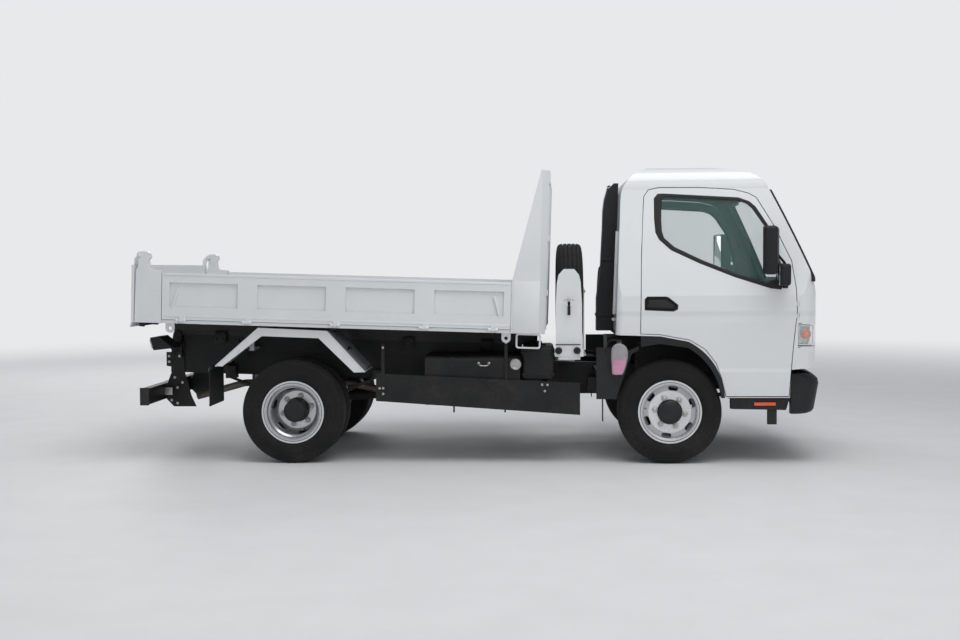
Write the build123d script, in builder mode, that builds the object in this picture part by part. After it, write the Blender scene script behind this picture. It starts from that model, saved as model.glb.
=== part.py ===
from build123d import *
import math
import os

os.makedirs("parts", exist_ok=True)

# Light dump truck, in millimetres.
# X points forward, Y to the truck's left and Z up. The ground is at Z = 0.
# "Side" outlines are lists of (X, Z). "Bed" outlines are (along, up) on the sloping deck.

# Wheels
wheelbase = 2800
front_axle_x = 1420
rear_axle_x = front_axle_x - wheelbase
tyre_radius = 383
tyre_half_width = 98
front_track_half = 815
rear_outer_half = 815
dual_spacing = 220
rim_half_width = 82
rim_flange_radius = 234
bead_radius = 205
well_radius = 186
rim_wall = 9
seat_gap = 0.3
disc_thickness = 12
bolt_circle = 222
bolt_count = 6
nut_radius = 17
nut_height = 18
hub_cap_radius = 82
drum_radius = 155
spindle_radius = 30
running_gap = 0.5
front_disc_offset = 66
front_flange_radius = 156
rear_flange_radius = 144
vent_circle = 352
vent_length = 72
vent_width = 36
front_disc_seat = 62
rear_disc_seat = 66
front_nut_angle = 22
rear_nut_angle = -15

# Steering
kingpin_half = 690
kingpin_radius = 15
steering_arm = 150
tie_rod_radius = 14
tie_end_radius = 17
arm_room = 70

# Deck slope and the frame that lies along it
deck_z = 980
deck_slope = 1.9
rail_top = -240
rail_depth = 180
rail_half = 350
rail_flange = 60
rail_gauge = 7
rail_rear = -2450
rail_front = 2456
subframe_height = 120
subframe_front = 330
subframe_rear = -2350
member_length = 80

# Bed
bed_half_width = 980
bed_rear = -2541
post_rear_width = 200
gate_length = 2592
gate_clearance = 5
gate_bottom = 28
gate_height = 344
gate_thickness = 45
gate_pressing_depth = 16
gate_pressing_count = 4
gate_pressing_length = 508
gate_pressing_pitch = 655
gate_pressing_low = 96
gate_pressing_height = 178
sill_height = 25
floor_thickness = 6
floor_top = 40
post_top = 386
headboard_front = 502
headboard_wall = 40
headboard_top = 1197
headboard_chamfer = 50
wing_top_width = 60
bed_sill_inner = 290
bed_sill_outer = 350
cross_depth = 38
hinge_along = -2400
hinge_up = -120
hinge_pin_radius = 15
tailgate_pin_along = -2512
tailgate_pin_up = 494
tailgate_thickness = 20
tailgate_lip = 9
bed_hoist_pin = (-1600, 900)
barrel_pin = (-600, 620)
barrel_radius = 55
rod_radius = 28
barrel_length = 850

# Cab
cab_wall = 40
cab_half_width = 965
cab_rear_x = 1020
cab_nose_x = 2497
cab_floor_z = 955
sill_z = 492
channel_half = 700
channel_top = 735
wheelhouse_radius = 466
wheelhouse_half = 820
door_gap = 5
glass_inset = 12
glass_thickness = 5
cab_pivot = (2445, 690)
door_hinge_x = 2333
door_hinge_out = 2
door_pin_radius = 6
door_pin_room = 4
door_pins = ((1075, 1110), (1160, 1195))
bumper_inner = 2454

# Guards, tanks and stowage
fender_half = 930
fender_sheet = 5
guard_half = 900
spare_centre = (690, -560, 1250)
carrier_half = 951
carrier_sheet = 6

sin_slope = math.sin(math.radians(deck_slope))
cos_slope = math.cos(math.radians(deck_slope))
hands = (("R", -1), ("L", 1))


def side_plane(y):
    return Plane(origin=(0, y, 0), x_dir=(1, 0, 0), z_dir=(0, -1, 0))


def bed_plane(y):
    return Plane(origin=(0, y, deck_z), x_dir=(cos_slope, 0, -sin_slope), z_dir=(0, -1, 0))


def on_deck(along, up):
    """Real (X, Z) of a point given along and above the sloping deck."""
    return (along * cos_slope + up * sin_slope, deck_z - along * sin_slope + up * cos_slope)


def slab(points, y_a, y_b, plane_at=side_plane, mode=Mode.ADD):
    """A plate with the given side outline, between two values of Y."""
    with BuildSketch(plane_at(max(y_a, y_b))) as outline:
        Polygon(*points, align=None)
    extrude(outline.sketch, amount=abs(y_a - y_b), mode=mode)


def block(x_a, x_b, z_a, z_b, y_a, y_b, plane_at=side_plane, mode=Mode.ADD):
    """A rectangular bar between two values of X, Z and Y."""
    slab([(x_a, z_a), (x_b, z_a), (x_b, z_b), (x_a, z_b)], y_a, y_b, plane_at, mode)


def cross_pin(centre, radius, y_a, y_b, mode=Mode.ADD):
    """A round pin or bore that runs along Y."""
    with BuildSketch(side_plane(max(y_a, y_b))) as outline:
        with Locations(centre):
            Circle(radius)
    extrude(outline.sketch, amount=abs(y_a - y_b), mode=mode)


def wheel_plane(x, y, z, outward):
    """Local x runs along the axle towards the outside and local y along the radius."""
    if outward == 0:
        return Plane(origin=(x, y, z), x_dir=(-1, 0, 0), z_dir=(0, 1, 0))
    return Plane(origin=(x, y, z), x_dir=(0, outward, 0), z_dir=(outward, 0, 0))


def spin(plane, points, mode=Mode.ADD):
    """A ring or disc turned about the wheel's own axis."""
    with BuildSketch(plane) as profile:
        Polygon(*points, align=None)
    revolve(profile.sketch, axis=Axis(plane.origin, plane.x_dir), mode=mode)


def add_tyre(plane):
    shoulder = tyre_half_width - 16
    points = [
        (-rim_half_width + 12, bead_radius),
        (-rim_half_width + 7.4, rim_flange_radius + 2),
        (-tyre_half_width + 6, rim_flange_radius + 24),
        (-tyre_half_width, tyre_radius - 84),
        (-tyre_half_width + 6, tyre_radius - 44),
        (-shoulder, tyre_radius - 12),
        (-shoulder + 26, tyre_radius),
    ]
    other = [(-a, r) for a, r in reversed(points)]
    spin(plane, points + other)


def add_rim(plane):
    lip = rim_half_width
    well = lip / 2
    outer = [
        (-lip, rim_flange_radius),
        (-lip + 7, rim_flange_radius),
        (-lip + 11, bead_radius - seat_gap),
        (-well - 8, bead_radius - seat_gap - 3),
        (-well, well_radius),
    ]
    inner = [
        (-well + 4, well_radius - rim_wall),
        (-well - 10, bead_radius - rim_wall - 4),
        (-lip + 4, bead_radius - rim_wall),
        (-lip, bead_radius + 4),
    ]
    far_outer = [(-a, r) for a, r in reversed(outer)]
    far_inner = [(-a, r) for a, r in reversed(inner)]
    spin(plane, outer + far_outer + far_inner + inner)


def add_disc(plane, face, flange_radius, seat, first_nut):
    """A wheel disc: its bolted face, and the vented cone from it to the rim's bead seat."""
    back = face - disc_thickness
    seat_radius = bead_radius - rim_wall - 2
    spin(plane, [
        (face, 0),
        (face, flange_radius),
        (seat, seat_radius),
        (seat - disc_thickness, seat_radius),
        (back, flange_radius - 6),
        (back, 0),
    ])
    vent_plane = Plane(origin=plane.origin + plane.x_dir * face, x_dir=plane.y_dir, z_dir=plane.x_dir)
    with BuildSketch(vent_plane) as vents:
        with PolarLocations(vent_circle / 2, bolt_count, start_angle=first_nut + 180 / bolt_count):
            SlotOverall(vent_length, vent_width, rotation=90)
    extrude(vents.sketch, amount=60, both=True, mode=Mode.SUBTRACT)


def add_nuts(plane, face, first_nut):
    nut_plane = Plane(origin=plane.origin + plane.x_dir * face, x_dir=plane.y_dir, z_dir=plane.x_dir)
    with BuildSketch(nut_plane) as nuts:
        with PolarLocations(bolt_circle / 2, bolt_count, start_angle=first_nut):
            RegularPolygon(nut_radius, 6)
    extrude(nuts.sketch, amount=nut_height)


# Front wheels
for hand, s in hands:
    wheel = wheel_plane(front_axle_x, s * front_track_half, tyre_radius, s)

    with BuildPart() as front_tyre:
        add_tyre(wheel)
    front_tyre.part.label = f"front_tyre_{hand}"
    export_step(front_tyre.part, f"parts/front_tyre_{hand}.step")

    with BuildPart() as front_rim:
        add_disc(wheel, front_disc_offset, front_flange_radius, front_disc_seat, front_nut_angle)
        add_rim(wheel)
        spin(wheel, [
            (-rim_half_width + 8, 0),
            (-rim_half_width + 8, drum_radius),
            (front_disc_offset - 44, drum_radius),
            (front_disc_offset - 20, drum_radius - 40),
            (front_disc_offset - 1, drum_radius - 40),
            (front_disc_offset - 1, 0),
        ])
        spin(wheel, [
            (front_disc_offset - 1, 0),
            (front_disc_offset - 1, hub_cap_radius),
            (front_disc_offset + 44, hub_cap_radius - 4),
            (front_disc_offset + 52, hub_cap_radius - 16),
            (front_disc_offset + 56, 0),
        ])
        add_nuts(wheel, front_disc_offset, front_nut_angle)
        spin(wheel, [
            (-tyre_half_width, 0),
            (-tyre_half_width, spindle_radius + running_gap),
            (front_disc_offset - 26, spindle_radius + running_gap),
            (front_disc_offset - 26, 0),
        ], mode=Mode.SUBTRACT)
    front_rim.part.label = f"front_rim_{hand}"
    export_step(front_rim.part, f"parts/front_rim_{hand}.step")

# Rear twin wheels: the two discs are bolted back to back
rear_inner_half = rear_outer_half - dual_spacing
rear_disc_face = dual_spacing / 2
for hand, s in hands:
    outer = wheel_plane(rear_axle_x, s * rear_outer_half, tyre_radius, s)
    inner = wheel_plane(rear_axle_x, s * rear_inner_half, tyre_radius, s)

    with BuildPart() as rear_tyres:
        add_tyre(outer)
        add_tyre(inner)
    rear_tyres.part.label = f"rear_tyres_{hand}"
    export_step(rear_tyres.part, f"parts/rear_tyres_{hand}.step")

    with BuildPart() as rear_rims:
        add_disc(outer, -rear_disc_face + disc_thickness, rear_flange_radius,
                 -rear_disc_seat + disc_thickness,
                 rear_nut_angle)
        add_disc(inner, rear_disc_face, rear_flange_radius, rear_disc_seat, rear_nut_angle)
        add_rim(outer)
        add_rim(inner)
        spin(inner, [
            (-rim_half_width + 8, 0),
            (-rim_half_width + 8, drum_radius),
            (rear_disc_face - 50, drum_radius),
            (rear_disc_face - 30, drum_radius - 40),
            (rear_disc_face + disc_thickness, drum_radius - 40),
            (rear_disc_face + disc_thickness, 0),
        ])
        add_nuts(inner, rear_disc_face + disc_thickness, rear_nut_angle)
        spin(inner, [
            (rear_disc_face, 0),
            (rear_disc_face, hub_cap_radius),
            (rear_disc_face + 120, hub_cap_radius - 6),
            (rear_disc_face + 130, hub_cap_radius - 20),
            (rear_disc_face + 130, 0),
        ])
        spin(inner, [
            (-tyre_half_width, 0),
            (-tyre_half_width, spindle_radius + running_gap),
            (rear_disc_face + 60, spindle_radius + running_gap),
            (rear_disc_face + 60, 0),
        ], mode=Mode.SUBTRACT)
    rear_rims.part.label = f"rear_rims_{hand}"
    export_step(rear_rims.part, f"parts/rear_rims_{hand}.step")

# Spare wheel, standing across the frame behind the cab
spare = wheel_plane(*spare_centre, 0)
with BuildPart() as spare_tyre:
    add_tyre(spare)
spare_tyre.part.label = "spare_tyre"
export_step(spare_tyre.part, "parts/spare_tyre.step")

with BuildPart() as spare_rim:
    add_disc(spare, front_disc_offset, front_flange_radius, front_disc_seat, front_nut_angle)
    add_rim(spare)
    spin(spare, [
        (front_disc_offset - 80, 0),
        (front_disc_offset - 80, hub_cap_radius),
        (front_disc_offset + 20, hub_cap_radius),
        (front_disc_offset + 20, 0),
    ], mode=Mode.SUBTRACT)
spare_rim.part.label = "spare_rim"
export_step(spare_rim.part, "parts/spare_rim.step")

# Front axle beam, dropped in the middle, with an eye for each kingpin
axle_beam_half = kingpin_half - 34
eye_half_height = 32
beam_depth = 62
with BuildPart() as front_axle:
    with BuildSketch(Plane(origin=(front_axle_x - 30, 0, 0), x_dir=(0, 1, 0), z_dir=(1, 0, 0))) as beam:
        Polygon(
            (-axle_beam_half, tyre_radius - eye_half_height),
            (-axle_beam_half + arm_room, tyre_radius - eye_half_height),
            (-axle_beam_half + arm_room + 60, tyre_radius - 74),
            (axle_beam_half - arm_room - 60, tyre_radius - 74),
            (axle_beam_half - arm_room, tyre_radius - eye_half_height),
            (axle_beam_half, tyre_radius - eye_half_height),
            (axle_beam_half, tyre_radius + eye_half_height),
            (axle_beam_half - 110, tyre_radius - 74 + beam_depth),
            (-axle_beam_half + 110, tyre_radius - 74 + beam_depth),
            (-axle_beam_half, tyre_radius + eye_half_height),
            align=None,
        )
    extrude(beam.sketch, amount=60)
    for hand, s in hands:
        with BuildSketch(Plane.XY.offset(tyre_radius - eye_half_height)) as eye:
            with Locations((front_axle_x, s * kingpin_half)):
                Circle(32)
            with Locations((front_axle_x, s * (kingpin_half - 25))):
                Rectangle(60, 50)
            with Locations((front_axle_x, s * kingpin_half)):
                Circle(kingpin_radius + running_gap, mode=Mode.SUBTRACT)
        extrude(eye.sketch, amount=2 * eye_half_height)
front_axle.part.label = "front_axle"
export_step(front_axle.part, "parts/front_axle.step")

# Steering knuckles: a yoke on the kingpin, the wheel's spindle and the steering arm
yoke_gap = 1
yoke_thickness = 18
backing_y = front_track_half - rim_half_width - 4
arm_y = kingpin_half - 40
for hand, s in hands:
    with BuildPart() as knuckle:
        for z_low in (tyre_radius - eye_half_height - yoke_gap - yoke_thickness,
                      tyre_radius + eye_half_height + yoke_gap):
            with BuildSketch(Plane.XY.offset(z_low)) as ear:
                with Locations((front_axle_x, s * kingpin_half)):
                    Circle(30)
                with Locations((front_axle_x, s * (kingpin_half + 24))):
                    Rectangle(60, 48)
            extrude(ear.sketch, amount=yoke_thickness)
        with BuildSketch(Plane.XY.offset(tyre_radius - eye_half_height - 10)) as pin:
            with Locations((front_axle_x, s * kingpin_half)):
                Circle(kingpin_radius)
        extrude(pin.sketch, amount=2 * eye_half_height + 20)
        cross_pin((front_axle_x, tyre_radius), 110, s * (backing_y - 6), s * backing_y)
        block(front_axle_x - 30, front_axle_x + 30, tyre_radius - 52, tyre_radius + 52,
              s * (kingpin_half + 34), s * (backing_y - 2))
        cross_pin((front_axle_x, tyre_radius), spindle_radius, s * (backing_y - 4),
                  s * (front_track_half + front_disc_offset - 30))
        arm_z = tyre_radius - eye_half_height - yoke_gap - yoke_thickness
        with BuildSketch(Plane.XY.offset(arm_z)) as arm:
            Polygon(
                (front_axle_x - 20, s * (kingpin_half + 20)),
                (front_axle_x - 20, s * (kingpin_half - 24)),
                (front_axle_x - steering_arm - 22, s * (arm_y - 20)),
                (front_axle_x - steering_arm - 22, s * (arm_y + 20)),
                align=None,
            )
        extrude(arm.sketch, amount=yoke_thickness)
    knuckle.part.label = f"knuckle_{hand}"
    export_step(knuckle.part, f"parts/knuckle_{hand}.step")

# The tie rod hangs just under the two steering arms
tie_z = arm_z - tie_end_radius - running_gap
with BuildPart() as tie_rod:
    cross_pin((front_axle_x - steering_arm, tie_z), tie_rod_radius, -arm_y, arm_y)
    for hand, s in hands:
        cross_pin((front_axle_x - steering_arm, tie_z), tie_end_radius, s * (arm_y - 90), s * (arm_y + 14))
tie_rod.part.label = "tie_rod"
export_step(tie_rod.part, "parts/tie_rod.step")

# Frame: two channel rails that slope with the deck, joined by cross members
rail_bottom = rail_top - rail_depth
frame_members = (-2400, -1820, -250, 420, 650)
pivot_cheek = (325, 345)
with BuildPart() as frame:
    for hand, s in hands:
        block(rail_rear, rail_front, rail_bottom, rail_top,
              s * rail_half, s * (rail_half - rail_gauge), bed_plane)
        for low, high in ((rail_bottom, rail_bottom + rail_gauge), (rail_top - rail_gauge, rail_top)):
            block(rail_rear, rail_front, low, high, s * rail_half, s * (rail_half - rail_flange), bed_plane)
        slab([(cab_pivot[0] - 40, 640), (cab_pivot[0] + 8, 640),
              (cab_pivot[0] + 8, cab_pivot[1] + 12), (cab_pivot[0] - 14, cab_pivot[1] + 12)],
             s * pivot_cheek[0], s * pivot_cheek[1])
        cross_pin(cab_pivot, 12, s * pivot_cheek[0], s * (pivot_cheek[1] + 36))
        block(2380, bumper_inner - seat_gap, 510, 610, s * rail_half, s * (rail_half - rail_gauge))
    for along in frame_members:
        block(along - member_length / 2, along + member_length / 2, rail_bottom + 20, rail_top - 20,
              -rail_half + rail_gauge, rail_half - rail_gauge, bed_plane)
        block(along - member_length / 2 + 6, along + member_length / 2 + 6, rail_bottom + 27, rail_top - 27,
              -rail_half + rail_gauge + 4, rail_half - rail_gauge - 4, bed_plane, Mode.SUBTRACT)
    block(rail_front - 60, rail_front, rail_bottom + 10, rail_top - 10,
          -rail_half + rail_gauge, rail_half - rail_gauge, bed_plane)
frame.part.label = "frame"
export_step(frame.part, "parts/frame.step")

# Subframe under the bed, with the bed's hinge cheeks and the hoist's foot
subframe_top = rail_top + subframe_height
hinge = on_deck(hinge_along, hinge_up)
cheeks = ((bed_sill_inner - 20, bed_sill_inner - 6), (bed_sill_outer + 6, bed_sill_outer + 20))
hoist_ear = (36, 48)
with BuildPart() as subframe:
    for hand, s in hands:
        block(subframe_rear, subframe_front, rail_top + seat_gap, subframe_top - seat_gap,
              s * bed_sill_inner, s * bed_sill_outer, bed_plane)
        for inner_y, outer_y in cheeks:
            slab([(hinge_along - 50, rail_top + 8), (hinge_along + 50, rail_top + 8),
                  (hinge_along + 30, hinge_up + 14), (hinge_along + 14, hinge_up + 30),
                  (hinge_along - 14, hinge_up + 30), (hinge_along - 30, hinge_up + 14)],
                 s * inner_y, s * outer_y, bed_plane)
        cross_pin(hinge, hinge_pin_radius, s * cheeks[0][0], s * cheeks[1][1])
    block(hinge_along - 50, hinge_along + 60, rail_top + seat_gap, rail_top + 60, -cheeks[1][1], cheeks[1][1],
          bed_plane)
    for along in (-1950, 280):
        block(along - 30, along + 30, rail_top + 20, subframe_top - 20,
              -bed_sill_inner, bed_sill_inner, bed_plane)
    foot_x = barrel_pin[0] + 55
    block(foot_x, foot_x + 80, barrel_pin[1] - 50, rail_top + deck_z + 60, -bed_sill_inner + 4,
          bed_sill_inner - 4)
    block(foot_x, foot_x + 80, rail_top + 4, subframe_top - 20, -bed_sill_inner - 1, bed_sill_inner + 1,
          bed_plane)
    for hand, s in hands:
        slab([(barrel_pin[0] - 34, barrel_pin[1] - 34), (foot_x + 1, barrel_pin[1] - 44),
              (foot_x + 1, barrel_pin[1] + 44), (barrel_pin[0] - 34, barrel_pin[1] + 34)],
             s * hoist_ear[0], s * hoist_ear[1])
    cross_pin(barrel_pin, 16, -hoist_ear[1], hoist_ear[1])
subframe.part.label = "subframe"
export_step(subframe.part, "parts/subframe.step")

# Hoist cylinder, from its foot on the subframe to the lug under the bed
hoist_run = (bed_hoist_pin[0] - barrel_pin[0], bed_hoist_pin[1] - barrel_pin[1])
hoist_length = math.hypot(*hoist_run)
hoist_axis = (hoist_run[0] / hoist_length, 0, hoist_run[1] / hoist_length)
hoist_plane = Plane(origin=(barrel_pin[0], 0, barrel_pin[1]), x_dir=(0, 1, 0), z_dir=hoist_axis)
with BuildPart() as hoist_barrel:
    with BuildSketch(hoist_plane.offset(50)) as tube:
        Circle(barrel_radius)
    extrude(tube.sketch, amount=barrel_length - 50)
    with BuildSketch(hoist_plane.offset(barrel_length - 50)) as gland:
        Circle(barrel_radius + 8)
    extrude(gland.sketch, amount=50)
    with BuildSketch(hoist_plane.offset(140)) as bore:
        Circle(rod_radius + running_gap)
    extrude(bore.sketch, amount=barrel_length, mode=Mode.SUBTRACT)
    cross_pin(barrel_pin, 34, -30, 30)
    with BuildSketch(hoist_plane) as neck:
        Rectangle(60, 50)
    extrude(neck.sketch, amount=60)
    cross_pin(barrel_pin, 16 + running_gap, -30, 30, Mode.SUBTRACT)
hoist_barrel.part.label = "hoist_barrel"
export_step(hoist_barrel.part, "parts/hoist_barrel.step")

with BuildPart() as hoist_rod:
    with BuildSketch(hoist_plane.offset(150)) as rod:
        Circle(rod_radius)
    extrude(rod.sketch, amount=hoist_length - 170)
    cross_pin(bed_hoist_pin, 32, -28, 28)
hoist_rod.part.label = "hoist_rod"
export_step(hoist_rod.part, "parts/hoist_rod.step")

# Engine and gearbox as one plain block between the rails
with BuildPart() as engine:
    block(1000, 1500, 440, 900, -240, 240)
    block(740, 1000, 440, 640, -110, 110)
    block(1180, 1240, 560, 600, -rail_half + rail_gauge + seat_gap, rail_half - rail_gauge - seat_gap)
engine.part.label = "engine"
export_step(engine.part, "parts/engine.step")

# Rear axle with its drive housing, and the shaft from the gearbox
with BuildPart() as rear_axle:
    cross_pin((rear_axle_x, tyre_radius), 52, -rear_inner_half + 95, rear_inner_half - 95)
    for hand, s in hands:
        cross_pin((rear_axle_x, tyre_radius), 130, s * (rear_inner_half - rim_half_width - 12),
                  s * (rear_inner_half - rim_half_width - 4))
        cross_pin((rear_axle_x, tyre_radius), spindle_radius, s * (rear_inner_half - 96),
                  s * (rear_outer_half - 70))
    with BuildSketch(Plane(origin=(rear_axle_x, 0, tyre_radius), x_dir=(0, 1, 0), z_dir=(1, 0, 0))) as pumpkin:
        Circle(150)
    extrude(pumpkin.sketch, amount=90, both=True, taper=12)
    shaft_start = Vector(740, 0, 510)
    shaft_end = Vector(rear_axle_x + 60, 0, tyre_radius + 20)
    shaft_plane = Plane(origin=shaft_end, x_dir=(0, 1, 0), z_dir=shaft_start - shaft_end)
    with BuildSketch(shaft_plane) as shaft:
        Circle(38)
    extrude(shaft.sketch, amount=(shaft_start - shaft_end).length - 2.3)
rear_axle.part.label = "rear_axle"
export_step(rear_axle.part, "parts/rear_axle.step")

# Leaf springs: axle x, height of the pack's underside, rise of its ends, half length
spring_half = (385, 445)
leaf = 12
spring_packs = (
    (rear_axle_x, tyre_radius + 53, 120, 600, 5),
    (front_axle_x, tyre_radius - 11, 90, 560, 4),
)
with BuildPart() as leaf_springs:
    for axle_x, low_z, rise, half_length, leaves in spring_packs:
        for index in range(leaves):
            reach = half_length * (1 - 0.16 * (leaves - 1 - index))
            lift = rise * (reach / half_length) ** 2
            base = low_z + index * leaf
            with BuildSketch(side_plane(-spring_half[0])) as pack:
                with BuildLine():
                    ThreePointArc((axle_x - reach, base + lift), (axle_x, base),
                                  (axle_x + reach, base + lift))
                    Line((axle_x + reach, base + lift), (axle_x + reach, base + lift + leaf))
                    ThreePointArc((axle_x + reach, base + lift + leaf), (axle_x, base + leaf),
                                  (axle_x - reach, base + lift + leaf))
                    Line((axle_x - reach, base + lift + leaf), (axle_x - reach, base + lift))
                make_face()
            extrude(pack.sketch, amount=spring_half[1] - spring_half[0])
        top = low_z + rise + leaves * leaf
        for end in (-1, 1):
            end_x = axle_x + end * (half_length - 20)
            rail_low = deck_z - end_x * sin_slope + rail_bottom
            block(end_x - 40, end_x + 40, top - leaf - 6, rail_low + 70, -rail_half - seat_gap, -spring_half[1])
        block(axle_x - 60, axle_x + 60, low_z - 1 + seat_gap, low_z + leaves * leaf + 14,
              -spring_half[0] + 8, -spring_half[1] - 8)
    mirror(about=Plane.XZ)
leaf_springs.part.label = "leaf_springs"
export_step(leaf_springs.part, "parts/leaf_springs.step")

# Fuel tank on the right and battery box on the left, each on the frame rail
with BuildPart() as fuel_tank:
    block(-390, 317, 430, 798, -rail_half - seat_gap, -870)
    fillet(fuel_tank.edges().filter_by(Axis.X), 45)
    cross_pin((285, 738), 30, -800, -880)
    cross_pin((285, 738), 38, -876, -894)
fuel_tank.part.label = "fuel_tank"
export_step(fuel_tank.part, "parts/fuel_tank.step")

with BuildPart() as battery_box:
    block(-120, 320, 450, 700, rail_half + seat_gap, 800)
    fillet(battery_box.edges().filter_by(Axis.Z), 20)
battery_box.part.label = "battery_box"
export_step(battery_box.part, "parts/battery_box.step")

# Side guard boards, carried by arms from the rails
guard_arms = (-700, 500)
with BuildPart() as side_guards:
    slab([(-752, 672), (760, 599), (760, 362), (-754, 467)], -guard_half, -guard_half + 8)
    for x in guard_arms:
        block(x - 20, x + 20, 560, 600, -rail_half - seat_gap, -guard_half + 6)
    for x, top in ((-700, 890), (215, 925)):
        block(x - 12, x + 12, 560, top, -guard_half + 7, -guard_half + 22)
    mirror(about=Plane.XZ)
side_guards.part.label = "side_guards"
export_step(side_guards.part, "parts/side_guards.step")

# Rear fenders: a bent sheet over the twin tyres with a skirt on its outer edge
fender_outer = [(-1952, 733), (-1625, 1016), (-1110, 991), (-830, 686)]
fender_inner = [(-1898, 730), (-1598, 955), (-1174, 938), (-912, 682)]
fender_under = [(-1945, 729), (-1622, 1010), (-1113, 986), (-836, 682)]
with BuildPart() as rear_fenders:
    slab(fender_outer + fender_inner[::-1], -fender_half, -fender_half + fender_sheet)
    slab(fender_outer + fender_under[::-1], -fender_half + fender_sheet - 1, -485)
    for x_low, x_high, z_low in ((-1790, -1750, 820), (-1010, -970, 800)):
        block(x_low, x_high, z_low, z_low + 26, -rail_half - seat_gap, -540)
        block(x_low, x_high, z_low, z_low + (80 if x_low < rear_axle_x else 52), -540, -515)
    mirror(about=Plane.XZ)
rear_fenders.part.label = "rear_fenders"
export_step(rear_fenders.part, "parts/rear_fenders.step")

# Mud flaps behind the rear tyres, and the splash guards behind the front ones
with BuildPart() as mud_flaps:
    for y_a, y_b in ((-905, -500), (500, 905)):
        block(-2006, -2000, 428, 727, y_a, y_b)
        block(-2000, -1986, 700, 727, y_a, y_b)
        block(-2004, -1960, 700, 727, min(abs(y_a), abs(y_b)) * (1 if y_a > 0 else -1),
              (rail_half + seat_gap) * (1 if y_a > 0 else -1))
mud_flaps.part.label = "mud_flaps"
export_step(mud_flaps.part, "parts/mud_flaps.step")

with BuildPart() as splash_guards:
    slab([(991, 479), (1035, 626), (1108, 831), (1192, 872), (1192, 840), (1140, 812), (1065, 600),
          (1024, 476)],
         -895, -820)
    slab([(880, 479), (880, 860), (1060, 860), (1108, 831), (1035, 626), (991, 479)], -895, -885)
    block(880, 940, 650, 690, -rail_half - seat_gap, -886)
    block(925, 931, 312, 520, -886, -800)
    mirror(about=Plane.XZ)
splash_guards.part.label = "splash_guards"
export_step(splash_guards.part, "parts/splash_guards.step")

# Rear underrun beam on two hooked brackets
with BuildPart() as rear_guard:
    block(-2560, -2500, 430, 552, -800, 800)
    for hand, s in hands:
        slab([(-2350, 800), (-2494, 800), (-2494, 690), (-2440, 680), (-2501, 520), (-2501, 430),
              (-2440, 366), (-2261, 366), (-2300, 450), (-2350, 640)],
             s * (rail_half + seat_gap), s * (rail_half + 12))
rear_guard.part.label = "rear_guard"
export_step(rear_guard.part, "parts/rear_guard.step")

with BuildPart() as tail_lamps:
    slab([(-2466, 942), (-2440, 846), (-2290, 862), (-2400, 950)], -620, -850)
    block(-2400, -2360, 862, 882, -rail_half - 24, -640)
    block(-2400, -2360, 760, 882, -rail_half - 24, -rail_half - 44)
    block(-2400, -2360, 760, 799, -rail_half - 12 - seat_gap, -rail_half - 25)
    mirror(about=Plane.XZ)
tail_lamps.part.label = "tail_lamps"
export_step(tail_lamps.part, "parts/tail_lamps.step")

# Silencer and tail pipe, inside the right rail
exhaust_y = -215
with BuildPart() as exhaust:
    with BuildSketch(Plane(origin=(-200, exhaust_y, 470), x_dir=(0, 1, 0), z_dir=(-1, 0, 0))) as can:
        Circle(72)
    extrude(can.sketch, amount=560)
    with BuildSketch(Plane(origin=(700, exhaust_y, 470), x_dir=(0, 1, 0), z_dir=(-1, 0, 0))) as down_pipe:
        Circle(28)
    extrude(down_pipe.sketch, amount=920)
    with BuildLine() as route:
        FilletPolyline((-740, exhaust_y, 470), (-1080, exhaust_y, 540), (-1900, exhaust_y, 540),
                       (-2290, exhaust_y, 432), radius=160)
    with BuildSketch(Plane(origin=route.line @ 0, x_dir=(0, 1, 0), z_dir=route.line % 0)) as pipe:
        Circle(28)
    sweep(pipe.sketch, path=route.line)
    for along, low in ((-250, rail_bottom - 60), (-1820, rail_bottom - 60)):
        block(along - 6, along + 6, low, rail_bottom + 20 - seat_gap, exhaust_y - 14, exhaust_y + 14, bed_plane)
exhaust.part.label = "exhaust"
export_step(exhaust.part, "parts/exhaust.step")

# Spare wheel carrier: a beam on the frame, a white outer plate and an upright at the wheel's centre
with BuildPart() as spare_carrier:
    block(600, 760, 775, 830, -300, -carrier_half)
    block(610, 750, rail_top + seat_gap, rail_top + 62, -rail_half, -rail_half + rail_flange, bed_plane)
    with BuildSketch(side_plane(-carrier_half + 1)) as plate:
        Polygon((582, 800), (582, 1180), (590, 1340), (602, 1398), (640, 1440), (716, 1440),
                (752, 1398), (764, 1340), (773, 1180), (773, 800), align=None)
        with Locations((678, 1197)):
            SlotOverall(54, 18, rotation=90, mode=Mode.SUBTRACT)
    extrude(plate.sketch, amount=carrier_sheet + 1)
    block(574, 602, 800, 860, -carrier_half, -carrier_half - 30)
    block(754, 782, 800, 860, -carrier_half, -carrier_half - 30)
    block(794, 804, 776, 1300, spare_centre[1] - 60, spare_centre[1] + 60)
    block(750, 804, 776, 830, spare_centre[1] - 60, spare_centre[1] + 60)
    block(640, 800, 1240, 1260, spare_centre[1] - 12, spare_centre[1] + 12)
    clamp_x = spare_centre[0] - front_disc_offset + disc_thickness + seat_gap
    with BuildSketch(Plane(origin=(clamp_x, spare_centre[1], spare_centre[2]), x_dir=(0, 1, 0),
                           z_dir=(1, 0, 0))) as clamp:
        Circle(hub_cap_radius + 20)
    extrude(clamp.sketch, amount=14)
spare_carrier.part.label = "spare_carrier"
export_step(spare_carrier.part, "parts/spare_carrier.step")

# Washer bottle on the right splash guard
with BuildPart() as washer_bottle:
    with BuildSketch(side_plane(-895 - seat_gap)) as bottle:
        Polygon((990, 660), (1072, 660), (1106, 770), (1112, 850), (1090, 890), (1040, 905),
                (1000, 880), (986, 820), align=None)
    extrude(bottle.sketch, amount=70)
washer_bottle.part.label = "washer_bottle"
export_step(washer_bottle.part, "parts/washer_bottle.step")

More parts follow.
